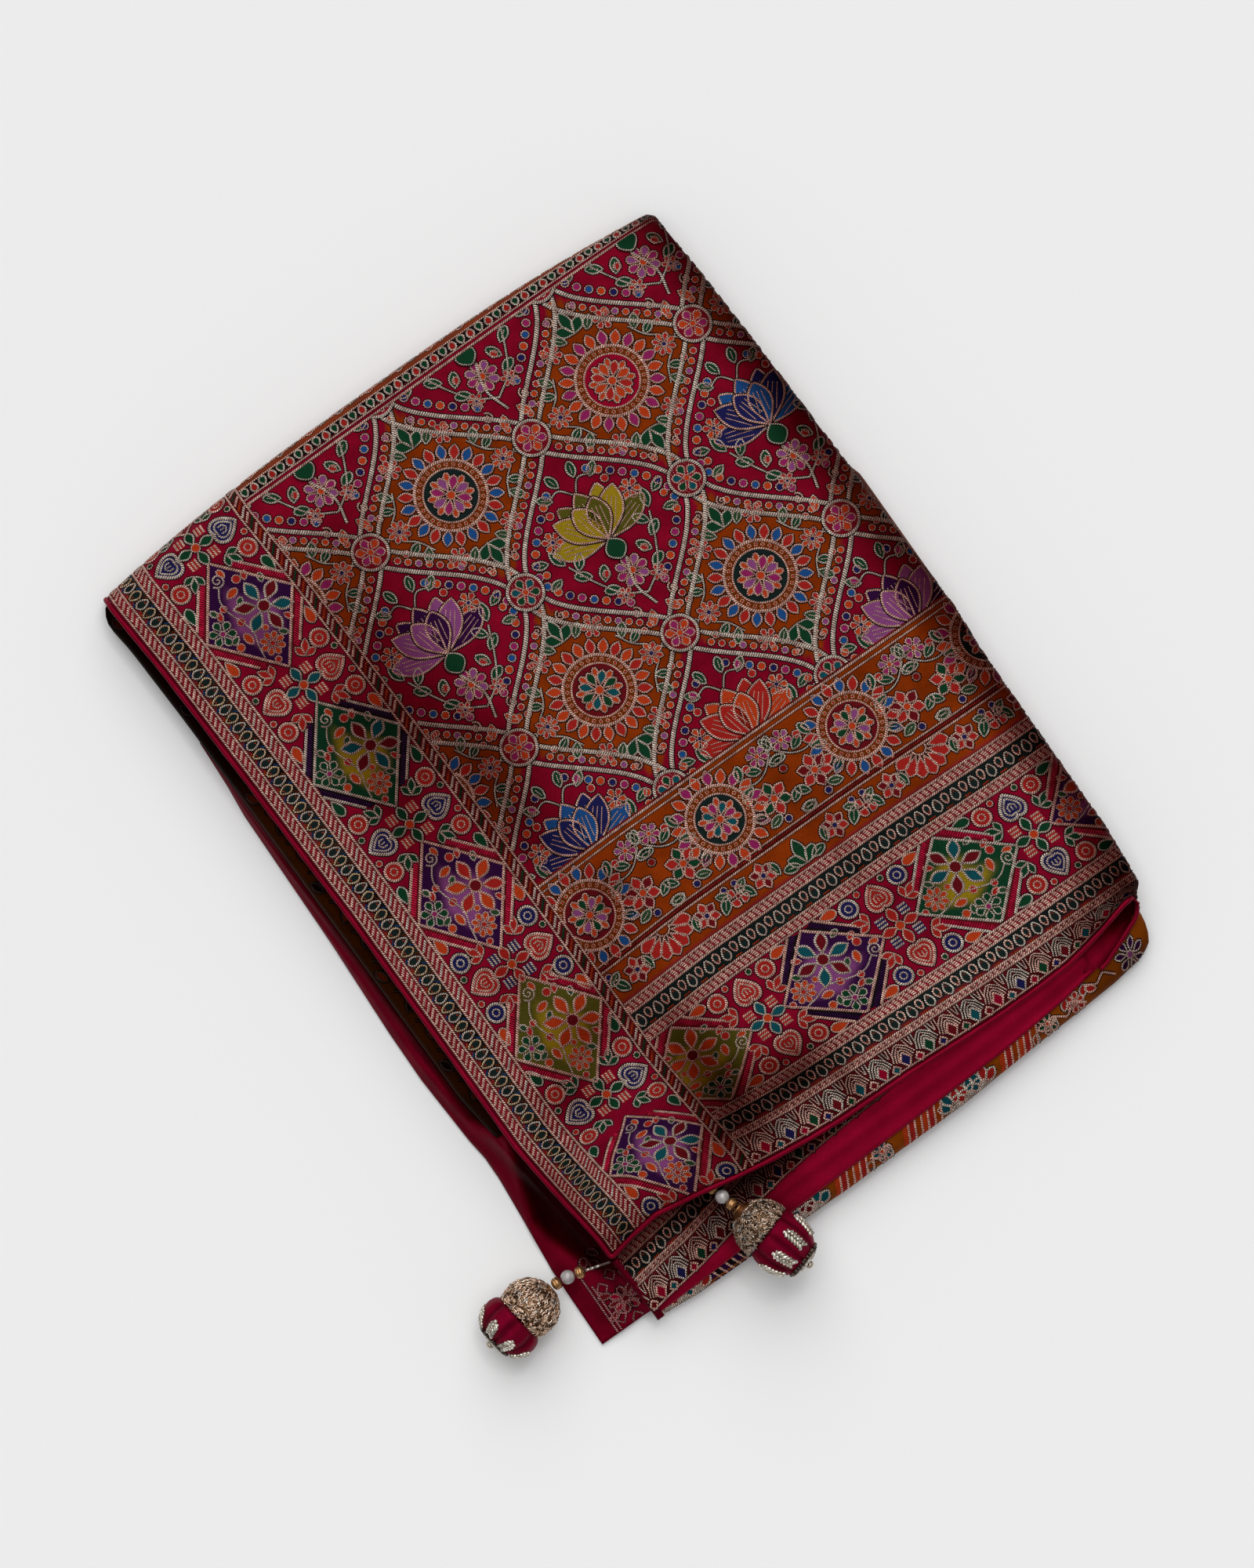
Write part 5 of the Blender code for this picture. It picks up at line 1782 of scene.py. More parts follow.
def body_point(share_x, share_y, inset, out):
    """Place in the bundle's outline, moved in by inset and out by out."""
    x = share_x * 150.0
    y = share_y * 200.0
    for _ in range(4):
        left, right = read(BODY_LEFT, y), read(BODY_RIGHT, y)
        near = read(BODY_NEAR, x)
        far = far_edge(x) - body_depth(x, 150.0) * (1.0 - 0.9 * ramp(138.0, 146.0, -x))
        x = 0.5 * (left + right) + 0.5 * (right - left) * share_x * (1.0 - inset / 150.0)
        y = 0.5 * (near + far) + 0.5 * (far - near) * share_y * (1.0 - inset / 200.0)
    x = x + np.sign(share_x) * np.abs(share_x) ** 8 * out
    y = y + np.sign(share_y) * np.abs(share_y) ** 8 * out
    return x, y


def bundle_outline():
    """Shares round a rounded rectangle, anticlockwise from the near right corner."""
    corner = 0.042
    sides = (((1, -1 + corner), (1, 1 - corner), 84), ((1 - corner, 1), (-1 + corner, 1), 60),
             ((-1, 1 - corner), (-1, -1 + corner), 84), ((-1 + corner, -1), (1 - corner, -1), 92))
    points = []
    for start, end, count in sides:
        start, end = np.array(start, float), np.array(end, float)
        for share in np.linspace(0.0, 1.0, count):
            points.append(start * (1 - share) + end * share)
        middle = np.clip(end, -1 + corner, 1 - corner)
        quarter = math.atan2(*(end - middle)[::-1])
        for turn in (0.25, 0.5, 0.75):
            angle = quarter + turn * 0.5 * math.pi
            points.append(middle + corner * np.array((math.cos(angle), math.sin(angle))))
    return np.array(points)


print("outline places:", len(bundle_outline()))

# %% [markdown]
# The bundle's wall is built ring by ring, from the floor up: five rings shape each fold, deep in its groove
# and round on its belly, and a slow wave lets it stand out or lie back. More rings carry the top in to the
# middle, where one point closes it.

# %% The bundle's layers
LAYER_DYES = (MUSTARD, OCHRE, CRIMSON, MUSTARD, (0.10, 0.05, 0.03), OCHRE, MUSTARD, CRIMSON, OCHRE, MUSTARD,
              (0.12, 0.06, 0.04), BUNDLE_MUSTARD, BUNDLE_MUSTARD)
LAYER_PROFILE = ((0.03, -GROOVE), (0.16, -0.45), (0.36, -0.06), (0.62, 0.0), (0.85, -0.22))
TOP_INSETS = (0.0, 0.25, 0.7, 1.4, 2.4, 3.6, 5.2, 7.5, 10.0, 13.5, 18.0, 26.0, 40.0, 62.0, 92.0, 130.0)


def slow_wave(girth, low, high):
    """A wave that closes on itself round the outline, with a chance count and start."""
    return np.sin(2 * np.pi * chance.integers(low, high) * girth / girth[-1] + 6.3 * chance.random())


def make_bundle():
    sx, sy = bundle_outline().T
    edge_x, edge_y = body_point(sx, sy, 0.0, 0.0)
    edge = body_top(edge_x, edge_y)
    girth = np.cumsum(np.hypot(edge_x - np.roll(edge_x, 1), edge_y - np.roll(edge_y, 1)))
    levels, paint, maps = [], [], []

    def level(x, y, z, dye, up):
        levels.append(columns(x, y, z))
        paint.append(np.tile(dye, (len(x), 1)))
        maps.append(columns(girth, np.full(len(x), up)))

    shares = np.linspace(0.0, 1.0, LAYERS + 1) ** 0.92
    for k, (low, high) in enumerate(zip(shares[:-1], shares[1:])):
        top = k == LAYERS - 1
        stand = np.clip(sum(0.22 * slow_wave(girth, 1, 9) for _ in range(4)) - 0.45, -1.3, 0.1)
        wobble = 0.10 * slow_wave(girth, 3, 12) * (high - low) * (k > 0 and not top)
        for share, out in LAYER_PROFILE[:4 if top else 5]:
            at = low + (high - low) * share
            x, y = body_point(sx, sy, 0.0, stand * (not top) + out * (share < 0.5 or not top))
            level(x, y, np.maximum((at + wobble) * edge, 0.02 if k else 0.0), LAYER_DYES[k], 30 * at)
    for inset in TOP_INSETS:
        x, y = body_point(sx, sy, inset, 0.0)
        level(x, y, body_top(x, y) - 1.0 * ramp(12.0, 26.0, inset), BUNDLE_MUSTARD, 32.0 + inset)
    points = np.vstack(levels + [[[0, 0, 0.0]], levels[-1].mean(axis=0)[None]])
    paint = np.vstack(paint + [np.array([MUSTARD, MUSTARD])])
    maps = np.vstack(maps + [np.array([[0.0, 0.0], [0.0, 160.0]])])
    # Painted shade: the opening's shade darkens the bundle's paint on the left and towards the near strip's
    # right end.
    paint = unevenly(paint, maps) * opening_shade(points[:, 0], points[:, 1])[:, None]
    return make_mesh("bundle", points, *ring_faces(len(levels), len(sx)), [SILK], paint, cloth=maps)


bundle = make_bundle()
dress(bundle, "body", "body_folds")

# %% [markdown]
# The visible strips of the bundle carry the saree's own figured weave: cream arcs, leaves and small
# flowers on mustard. Three small surfaces lie on the bundle's top, one for each strip.

# %% The near strip


def near_strip(flat):
    x = flat[:, 0]
    y = read(BODY_NEAR, x) + flat[:, 1]
    return columns(x, y, body_top(x, y))


def side_strip(outline):
    """A surface along one side of the bundle, measured from its outline."""
    def strip(flat):
        y = flat[:, 1]
        x = read(outline, y) + flat[:, 0]
        return columns(x, y, body_top(x, y))
    return strip


def slanted_bars(pen, start, dyes, lean):
    """Broad slanted stripes with a cream thread between them."""
    for k, dye in enumerate(dyes):
        at = start + 3.4 * k
        pen.floats(((0.2, at), (0.2, at + 2.6), (12.0, at + 2.6 + lean), (12.0, at + lean)), dye, height=0.2)
        pen.thread(((0.2, at + 3.0), (12.0, at + 3.0 + lean)), 1.35, CREAM)


def scallops(pen, start, count, dyes):
    """Half flowers standing on the edge, side by side."""
    for k in range(count):
        at = start + 7.6 * k
        for turn in (-62, -22, 22, 62):
            pen.petal((0.6, at), turn, 8.6, 4.0, dyes[(k + (turn > 0)) % len(dyes)], ASH, 1.1, 0.66)
        pen.thread(arc_path(3.0, -90, 90, 7), 1.2, CREAM, (0.2, at))


def sprays(pen, start, end, dyes):
    """Small flowers on a waving stem."""
    places = np.arange(start, end, 5.0)
    pen.thread([(3.4 + 1.9 * (-1) ** k, at) for k, at in enumerate(places)], 1.1, CREAM)
    for k, at in enumerate(places):
        if k % 3 == 1:
            pen.flower((4.4, at + 1.0), 4.6, 6, (dyes[k % 2],), CREAM, ORANGE, thick=1.0)
        else:
            pen.leaf((4.0, at), 35 if k % 2 else -140, 5.4, 3.2, dyes[(k + 1) % 2], ASH, False)


near_weave = Weaving(Cloth(near_strip, opening_shade), (-128.0, 0.15, 133.0, 14.0))
near_pen = Pen(near_weave, swap=True)
for start, dyes in ((-124.0, (TEAL, SCARLET)), (-62.0, (DEEP_RED, TEAL)), (26.0, (TEAL, SCARLET))):
    scallops(near_pen, start, 3, dyes)
slanted_bars(near_pen, -101.0, (PURPLE, DARK) * 3, -5.0)
for start in (-38.0, -2.0, 50.0):
    slanted_bars(near_pen, start, (ORANGE, SCARLET, MUSTARD) * 2, 6.0)
sprays(near_pen, -80.0, -64.0, (SCARLET, GREEN))
sprays(near_pen, -17.0, -4.0, (DEEP_RED, TEAL))
sprays(near_pen, 72.0, 101.0, (SCARLET, GREEN))
near_pen.thread(((8.0, 100.0), (4.6, 105.0), (7.4, 110.0), (3.0, 114.0)), 1.1, CREAM)
near_pen.leaf((3.6, 104.0), -60, 5.4, 3.2, SCARLET, CREAM, False)
near_pen.flower((4.6, 124.0), 7.2, 7, (PURPLE,), ASH, LILAC, thick=0.9, plump=0.8)
near_weaving = near_weave.make("bundle_near_weave")

# %% The side strips
# Zari in the dark opening is given this dim colour as painted shade, and the opening's painted shade, made
# softer, lies over it as well.
ZARI_IN_PAINTED_SHADE = (0.070, 0.045, 0.035)


def softened_opening_shade(x, y):
    return opening_shade(x, y) ** 0.55


left_weave = Weaving(Cloth(side_strip(BODY_LEFT), softened_opening_shade), (0.15, -80.0, 14.0, 186.0))
left_pen = Pen(left_weave)
for k in range(17):
    at = -74.0 + 15.6 * k
    left_pen.leaf((4.0 + k % 3, at), (40, 110, 75)[k % 3], 7.0, 3.4, (OCHRE, DARK)[k % 2], ZARI_IN_PAINTED_SHADE, False)
    left_pen.thread(arc_path(4.4, -60, 70, 6), 0.8, ZARI_IN_PAINTED_SHADE, (2.6, at + 7.0))
    left_pen.thread(((7.4, at - 3.0), (9.6, at + 3.4)), 0.7, ZARI_IN_PAINTED_SHADE)
left_weaving = left_weave.make("bundle_left_weave")
right_weave = Weaving(Cloth(side_strip(BODY_RIGHT), fold_shade), (-7.0, -100.0, -0.15, 186.0))
right_pen = Pen(right_weave)
for place in (-1.0, -2.6, -4.6):
    right_pen.thread(((place, -100.0), (place, 186.0)), 1.0, CREAM, step=2.6)
for k in range(30):
    right_pen.petal((-1.2, -98.0 + 9.4 * k), 160, 6.0, 3.4, (ORANGE, GREEN, SCARLET, NAVY)[k % 4])
right_weaving = right_weave.make("bundle_right_weave")
for piece in (near_weaving, left_weaving, right_weaving):
    dress(piece, "body")

# %% [markdown]
# A plain crimson length, the running blouse piece, comes out on the left and slopes to the floor. Near the
# corner it is drawn in over the bundle and under the pallu, with a slanting fold, and there it shows a few
# woven cream flowers. Further off only its edge stands out beside the bundle.

# %% The blouse end
BLOUSE_NEAR = -191.0
BLOUSE_FAR = 118.0
BLOUSE_REST = 1.65


def blouse_surface(flat):
    """Across is the share from the outer edge inwards, times 20; along is y."""
    share, y = flat[:, 0] / 20.0, flat[:, 1]
    left = read(BODY_LEFT, y)
    outer = read(BLOUSE_OUTER, y)
    carried = 1.0 - ramp(-96.0, -82.0, y)
    inner = left - 0.4 + carried * (read(SELVEDGE, y) + 2.0 - left)
    x = outer + (inner - outer) * share
    slope = np.clip((x - outer) / np.maximum(left - 0.4 - outer, 0.1), 0.0, 1.0)
    high = 0.70 * body_top(left, y) + 0.6
    arch = 0.8 * np.sin(np.pi * slope) * (1 - slope)
    middle = 4.0 * slope * (1 - slope)
    folds = 0.50 * np.sin(9.0 * slope + 0.045 * y) + 0.34 * np.sin(0.115 * y + 5.0 * slope)
    z = BLOUSE_REST + (high - BLOUSE_REST) * slope ** 0.8 + arch + folds * middle
    lifted = ramp(-5.0, 0.0, x - left) * carried
    z = z + (body_top(np.maximum(x, left + 0.5), y) + 0.8 - z) * lifted
    off = 0.942 * (x + 138.0) - 0.338 * (y + 94.0)
    along = ramp(-152.0, -138.0, y) * (1.0 - ramp(-98.0, -90.0, y))
    z = z + along * (1.3 * np.exp(-(off / 2.0) ** 2) - 1.3 * np.exp(-((off - 5.0) / 3.4) ** 2) * (1 - lifted))
    return columns(x, y, z)


BLOUSE_DYE = (0.140, 0.0015, 0.0115)
BLOUSE_ZARI = (0.300, 0.110, 0.110)
blouse = Cloth(blouse_surface, blouse_shade)
blouse_grid = np.meshgrid(np.linspace(0.0, 20.0, 27), np.linspace(BLOUSE_NEAR, BLOUSE_FAR, 156))
blouse_piece = cloth_piece("blouse_silk", blouse, *blouse_grid,
                           lambda flat: unevenly(np.tile(BLOUSE_DYE, (len(flat), 1)), flat * 2.0), BLOUSE_DYE)
blouse_weave = Weaving(blouse, (5.0, BLOUSE_NEAR + 0.6, 19.6, -152.0))
blouse_pen = Pen(blouse_weave)
blouse_pen.flower((14.2, -180.5), 6.2, 9, (DEEP_RED, CRIMSON), BLOUSE_ZARI, DEEP_RED, 90, 0.6, 1.0, 0.9)
for place in ((9.6, -186.0), (9.8, -171.5), (14.0, -190.0), (14.4, -168.0)):
    blouse_pen.thread(diamond_shape(-1.9, 2.8), 0.8, BLOUSE_ZARI, place, closed=True, edge=0.2, height=0.3)
for place, at, turn in ((11.0, -176.0, 150), (10.4, -183.0, 210), (17.6, -171.0, 60), (12.8, -163.0, 100),
                        (9.0, -160.0, 70), (15.6, -158.0, 120)):
    blouse_pen.leaf((place, at), turn, 5.0, 2.8, DEEP_RED, BLOUSE_ZARI, False)
for place, far in ((6.2, -158.0), (7.6, -168.0)):
    blouse_pen.thread(((place, BLOUSE_NEAR), (place, far)), 0.7, BLOUSE_ZARI, edge=0.2, height=0.3)
blouse_weaving = blouse_weave.make("blouse_weave")
dress(blouse_piece, "blouse", "blouse_end")
dress(blouse_weaving, "blouse")

# %% [markdown]
# A rolled crimson edging finishes the pallu. It starts at the far end, comes down the selvedge, turns the
# corner, runs along the hem and turns back under the fold's nose. It is a soft round tube, a little
# uneven, with a satin that twists. The tucked stretch has the same roll down its left side.

# %% The edging
EDGING_RADIUS = 1.15
EDGING_TALL = 0.95
EDGING_OUT = 1.196
EDGING_SIDES = 10
NOSE_BACK = 27.0


def edging_path():
    """Centre line of the edging, and the directions up and outwards at each point."""
    side_v = np.concatenate([np.arange(383.0, 348.0, -1.0), np.arange(348.0, 3.0, -2.0)])
    width = pallu_width(HEM_IN) + NOSE_RADIUS * np.pi + NOSE_BACK
    hem_u = np.concatenate([np.arange(4.0, 264.0, 2.0), np.arange(264.0, width, 1.0)])
    rows = []
    for flat, inward in ((columns(np.full(len(side_v), SIDE_IN), side_v), (1.0, 0.0)),
                         (columns(hem_u, np.full(len(hem_u), HEM_IN)), (0.0, 1.0))):
        ups = pallu.normals(flat + np.array(inward))
        edge = pallu.surface(flat) - 0.5 * CLOTH_THICKNESS * ups
        outs = pallu.surface(flat) - pallu.surface(flat + np.array(inward))
        runs = unit_rows(np.gradient(edge, axis=0))
        outs = unit_rows(outs - np.sum(outs * runs, axis=1, keepdims=True) * runs)
        rows.append((edge, ups, outs))
    (side_edge, side_up, side_out), (hem_edge, hem_up, hem_out) = rows
    share = np.array((0.15, 0.5, 0.85))[:, None]
    between = unit_rows(side_out[-1] * (1 - share) + hem_out[0] * share)
    up = np.tile(side_up[-1], (3, 1))
    corner = pallu.surface(np.array([[SIDE_IN, HEM_IN]])) - 0.4 * up
    return (np.vstack([side_edge, corner, hem_edge]), np.vstack([side_up, up, hem_up]),
            np.vstack([side_out, between, hem_out]))


def roll(name, edge, ups, outs, dye, wide=EDGING_RADIUS, tall=EDGING_TALL, out=EDGING_OUT):
    """A soft tube of satin along an edge."""
    count = len(edge)
    lengths = travelled(edge)
    uneven = (1.0 + 0.05 * np.sin(lengths * 0.21) + 0.04 * np.sin(lengths * 0.57 + 1.0))[:, None, None]
    centre = edge + outs * out
    angle = (2 * np.pi * np.arange(EDGING_SIDES) / EDGING_SIDES)[:, None]
    reach = wide * np.cos(angle) * outs[:, None] + tall * np.sin(angle) * ups[:, None]
    rings = centre[:, None] + uneven * reach
    points = np.vstack([rings.reshape(-1, 3), centre[:1], centre[-1:]])
    maps = columns(np.tile(np.arange(EDGING_SIDES) * 0.7, count), np.repeat(lengths, EDGING_SIDES))
    maps = np.vstack([maps, np.zeros((2, 2))])
    paint = unevenly(np.tile(dye, (len(points), 1)), maps * 1.5)
    quads, triangles = ring_faces(count, EDGING_SIDES, clockwise=True)
    return make_mesh(name, points, quads, triangles, [RIBBED], paint, cloth=maps)


edging = roll("edging", *edging_path(), ROSE)
side = np.linspace(0.0, 1.0, 34)
side_x, side_y = -130.4 + 1.5 * side, -164.2 - 31.8 * side
side_line = columns(side_x, side_y, crown(side_x, side_y) - TUCK_DEPTH - 0.7 - 1.5 * side ** 3)
tuck_edge = roll("tuck_edge", side_line, np.tile((0.0, 0.0, 1.0), (34, 1)),
                 np.tile((-1.0, -0.047, 0.0), (34, 1)), (0.085, 0.0010, 0.0075), 1.75, 1.25, 0.0)
dress(edging, "edging", "pallu_edging")
dress(tuck_edge, "edging")

# %% [markdown]
# The latkans are the jeweller's part: a thread, a gold bead, a pearl and another gold bead, then a cap
# crusted with cut metal wire, and a silk ball with sprays of silver bugle beads. Hundreds of crumbs and
# beads are the same little shape, so they are stamped in one go from a template.

# %% Metal, pearl and satin


def metal(name, roughness=0.20):
    """Cut wire and plated beads: bright, a little worn, each crumb with its own tone."""
    r = Recipe(name, roughness, 0.82, 0.5)
    grains = r.noise(r.place(), 900.0, 3.0)
    rough = r.span(grains, 0.3, 0.7, roughness - 0.1, roughness + 0.14)
    return r.finish(r.painted(r.span(grains, 0.3, 0.7, 0.72, 1.18)), grains, 0.25, 0.00012, rough)


def pearl_shell(name):
    """Glass pearl: pale nacre with faint clouds under a clear coat."""
    r = Recipe(name, 0.22, specular=0.55, coat=0.6)
    clouds = r.noise(r.place(), 420.0, 3.0)
    colour = r.mix(r.span(clouds, 0.35, 0.65, 0.0, 1.0), (0.22, 0.20, 0.195, 1.0), (0.36, 0.33, 0.325, 1.0))
    return r.finish(colour, clouds, 0.04, 0.00005)


def thread_ply(name):
    """Silk ply with fine fibres."""
    r = Recipe(name, 0.6, specular=0.35)
    fibres = r.noise(r.place(), 1500.0, 3.0)
    return r.finish(r.painted(r.span(fibres, 0.3, 0.7, 0.7, 1.2)), fibres, 0.4, 0.0001)


METAL = metal("cut_wire_and_plate")
PEARL = pearl_shell("glass_pearl")
THREAD_PLY = thread_ply("twisted_ply")
BALL_SATIN = silk("latkan_satin", roughness=0.40, rib=1.9, rib_depth=0.16, cloud=0.16, gloss=0.5)
print("latkan finishes:", [m.name for m in (METAL, PEARL, THREAD_PLY, BALL_SATIN)])

# %% [markdown]
# A bead is a turned shape: a row of radii along its axis. A stamp is that shape set down many times, each
# with its own place, direction, size and tone, in one mesh, which is far quicker than many objects.

# %% Stamping beads
UP = (0.0, 0.0, 1.0)


def turned_shape(profile, sides):
    """A closed turned shape along +x from (place, radius) rows, as points, quads and triangles."""
    angle = np.arange(sides) * 2 * np.pi / sides
    rings = [columns(np.full(sides, place), radius * np.cos(angle), radius * np.sin(angle))
             for place, radius in profile]
    points = np.vstack(rings + [[[profile[0][0], 0, 0], [profile[-1][0], 0, 0]]])
    return points, *ring_faces(len(profile), sides)


def round_rows(half, radius, steps):
    angles = np.linspace(0.0, np.pi, steps + 2)[1:-1]
    return [(-half * math.cos(a), radius * math.sin(a)) for a in angles]


class Beadwork:
    """Stamps of small closed shapes, gathered into one mesh."""

    def __init__(self):
        self.points, self.quads, self.triangles, self.paint = [], [], [], []
        self.count = 0

    def stamp(self, shape, origins, along, up, dyes, sizes=1.0):
        """Copies of a shape: its x runs along, its z towards up, sized by rows of three."""
        points, quads, triangles = shape
        along = unit_rows(np.atleast_2d(along).astype(float))
        side = unit_rows(np.cross(np.broadcast_to(up, along.shape), along))
        origins = np.atleast_2d(origins).astype(float)
        scaled = points[None] * np.broadcast_to(sizes, (len(origins), 3))[:, None, :]
        placed = (origins[:, None] + scaled[..., :1] * along[:, None] + scaled[..., 1:2] * side[:, None]
                  + scaled[..., 2:] * np.cross(along, side)[:, None])
        shift = self.count + np.arange(len(origins))[:, None, None] * len(points)
        self.points.append(placed.reshape(-1, 3))
        self.quads.append((quads[None] + shift).reshape(-1, 4))
        self.triangles.append((triangles[None] + shift).reshape(-1, 3))
        self.paint.append(np.repeat(np.broadcast_to(dyes, (len(origins), 3)), len(points), axis=0))
        self.count += len(placed) * len(points)

    def make(self, name, material):
        points = np.vstack(self.points)
        return make_mesh(name, points, np.vstack(self.quads), np.vstack(self.triangles), [material],
                         np.vstack(self.paint), cloth=points[:, :2])


print("bead tools ready")

# %% [markdown]
# The two latkans differ a little, as hand-stitched ones do, so each has its own rows: where its neck is and
# which way it points, how its cap swells, how thick its wire crumbs lie and how long its sprays are.

# %% Latkan places and tones
LATKANS = (
    # name, neck, axis, cap length, ball length, ball radius
    ("left", (-159.2, -158.1, 15.9), (-0.990, -0.130, -0.030), 18.6, 15.6, 14.8),
    ("near", (-75.4, -175.6, 26.7), (0.288, -0.955, -0.020), 16.2, 21.6, 14.0),
)
CHAINS = {
    # thread end on the edging, first bead, pearl, second bead
    "left": ((-132.8, -163.5, 20.2), (-145.7, -159.7, 18.3), (-151.1, -158.4, 17.1),
             (-156.6, -157.9, 16.2)),
    "near": ((-80.2, -158.8, 27.9), (-79.0, -163.1, 25.25), (-77.6, -168.4, 25.6),
             (-76.2, -173.2, 26.6)),
}
CAP_RADIUS = 12.8
CAP_ROWS = {
    # share of the length, radius
    "left": ((0.0, 2.6), (0.05, 4.6), (0.13, 7.4), (0.26, 10.2), (0.44, 12.2), (0.64, 13.0), (0.84, 12.7),
             (1.0, 11.9)),
    "near": ((0.0, 2.4), (0.08, 3.9), (0.20, 6.4), (0.36, 9.2), (0.56, 11.5), (0.78, 12.6), (0.92, 12.8),
             (1.0, 12.4)),
}
CRUMBS_FROM = {"left": 0.05, "near": 0.20}
SPRAY_SPANS = {
    # share where a spray starts, rows of bugles
    "left": (0.43, 5.0), "near": (0.29, 6.0),
}
CRUMBS = {
    # number, thickness, brightness
    "left": (1900, 0.70, 0.93), "near": (1500, 0.86, 0.55),
}
CRUMB_WEIGHTS = (0.25, 0.2, 0.17, 0.12, 0.11, 0.1, 0.05)
CRUMB_TONES = np.array(((0.80, 0.56, 0.42), (0.62, 0.40, 0.26), (0.90, 0.74, 0.60), (0.16, 0.085, 0.045),
                        (0.62, 0.57, 0.52), (0.46, 0.26, 0.14), (0.07, 0.04, 0.025)))
SILVER_TONES = np.array(((0.62, 0.57, 0.49), (0.48, 0.43, 0.35), (0.72, 0.67, 0.59), (0.36, 0.31, 0.25)))
GOLD = (0.36, 0.185, 0.075)
LOBES = 8
FLOOR_KEEP = 0.35


def axis_frame(axis):
    """Unit directions along an axis, to its side and up from it; works on rows of directions too."""
    axis = unit_rows(np.array(axis, float))
    side = unit_rows(np.cross(axis, UP))
    return axis, side, np.cross(side, axis)


print("latkans:", [latkan[0] for latkan in LATKANS])

# %% [markdown]
# A cap is first a dark cone that swells into a dome, with a gold collar and fine wraps of thread at its
# neck. Over it goes a layer of wire crumbs, short bright tubes of every tone, drawn in lines near the neck
# and thrown at every angle towards the rim.

# %% Caps


def make_cap(name, neck, axis, length):
    axis, side, up = axis_frame(axis)
    neck = np.array(neck, float)
    share, radius = np.array(CAP_ROWS[name]).T
    first = CRUMBS_FROM[name]
    work = Beadwork()
    rows = [(0.35 + place * (length - 0.5), reach - 0.6) for place, reach in CAP_ROWS[name][1:]]
    work.stamp(turned_shape(rows, 40), neck, axis, UP, (0.130, 0.064, 0.028))
    collar = turned_shape([(0.1, 1.6), (0.25, 2.7), (0.6, 3.2), (0.95, 2.7), (1.1, 1.6)], 32)
    work.stamp(collar, neck, axis, UP, GOLD)
    for place in np.arange(1.3, length * (first + 0.06), 0.5):
        reach = np.interp(place / length, share, radius)
        ring = turned_shape([(-0.27, reach * 0.86), (0.0, reach), (0.27, reach * 0.86)], 44)
        work.stamp(ring, neck + axis * place, axis, UP, (0.17, 0.060, 0.018))
    count, thin, dim = CRUMBS[name]
    slants = np.hypot(np.diff(share) * length, np.diff(radius))
    covered = np.concatenate([[0.0], np.cumsum(slants * (radius[1:] + radius[:-1]))])
    places = np.interp(chance.uniform(np.interp(first, share, covered), covered[-1], count), covered, share)
    places[:130] = chance.uniform(0.93, 1.0, 130)
    angles = chance.uniform(0.0, 2 * np.pi, count)
    reach = np.interp(places, share, radius) - chance.uniform(0.0, 0.5, count)
    out = np.cos(angles)[:, None] * side + np.sin(angles)[:, None] * up
    origins = neck + (places * length)[:, None] * axis + reach[:, None] * out
    lean = np.where(places < (0.55 if name == "left" else 0.0), chance.normal(0.0, 0.34, count),
                    chance.uniform(-1.6, 1.6, count))[:, None]
    slope = np.interp(places + 0.03, share, radius) - np.interp(places - 0.03, share, radius)
    flow = unit_rows(axis * (0.06 * length) + out * slope[:, None])
    along = flow * np.cos(lean) + np.cross(axis, out) * np.sin(lean)
    along += out * chance.uniform(-0.25, 0.25, count)[:, None]
    keep = origins[:, 2] > FLOOR_KEEP + 0.4
    crumb = turned_shape([(-1.0, 0.22), (-0.9, 0.34), (0.9, 0.34), (1.0, 0.22)], 6)
    sizes = columns(chance.uniform(0.6, 1.3, count), chance.uniform(0.8, 1.15, count) * thin,
                    chance.uniform(0.8, 1.15, count) * thin)
    tones = CRUMB_TONES[chance.choice(len(CRUMB_TONES), count, p=CRUMB_WEIGHTS)]
    tones = tones * dim * chance.uniform(0.75, 1.15, count)[:, None]
    work.stamp(crumb, origins[keep], along[keep], out[keep], tones[keep], sizes[keep])
    dress(work.make("latkan_" + name + "_wire_cap", METAL), "zari_cap", "latkan_" + name + "_cap")


for name, neck, axis, cap_length, _, _ in LATKANS:
    make_cap(name, neck, axis, cap_length)

# %% [markdown]
# A ball is padded satin drawn in by eight stitched grooves, so it bulges between them. On each bulge lies
# a spray: a spine of small beads with slanted bugles either side, like an ear of wheat. A dark ring and a
# crowd of silver beads close the far end.

# %% Balls


def ball_rows(start, length, radius):
    """The ball's own profile, from under the cap to the far end."""
    rows = [(start, CAP_RADIUS - 1.8), (start + 0.05 * length, 0.88 * radius),
            (start + 0.14 * length, 0.955 * radius)]
    for angle in np.linspace(0.0, 0.5 * np.pi, 14)[:-1]:
        rows.append((start + 0.30 * length + 0.70 * length * np.sin(angle), radius * np.cos(angle) ** 0.8))
    return np.array(rows)


class Ball:
    """A padded ball: share runs from the cap to the far end, angle round the axis."""

    def __init__(self, neck, axis, start, length, radius):
        self.axis, self.side, self.up = axis_frame(axis)
        self.neck = np.array(neck, float)
        self.rows = ball_rows(start, length, radius)

    def point(self, share, angle):
        steps = travelled(self.rows)
        place, radius = (np.interp(share * steps[-1], steps, values) for values in self.rows.T)
        lobes = 0.99 - 0.075 * ramp(0.02, 0.2, share) * np.abs(np.cos(0.5 * LOBES * angle)) ** 8
        out = np.cos(angle)[:, None] * self.side + np.sin(angle)[:, None] * self.up
        return self.neck + place[:, None] * self.axis + (radius * lobes)[:, None] * out


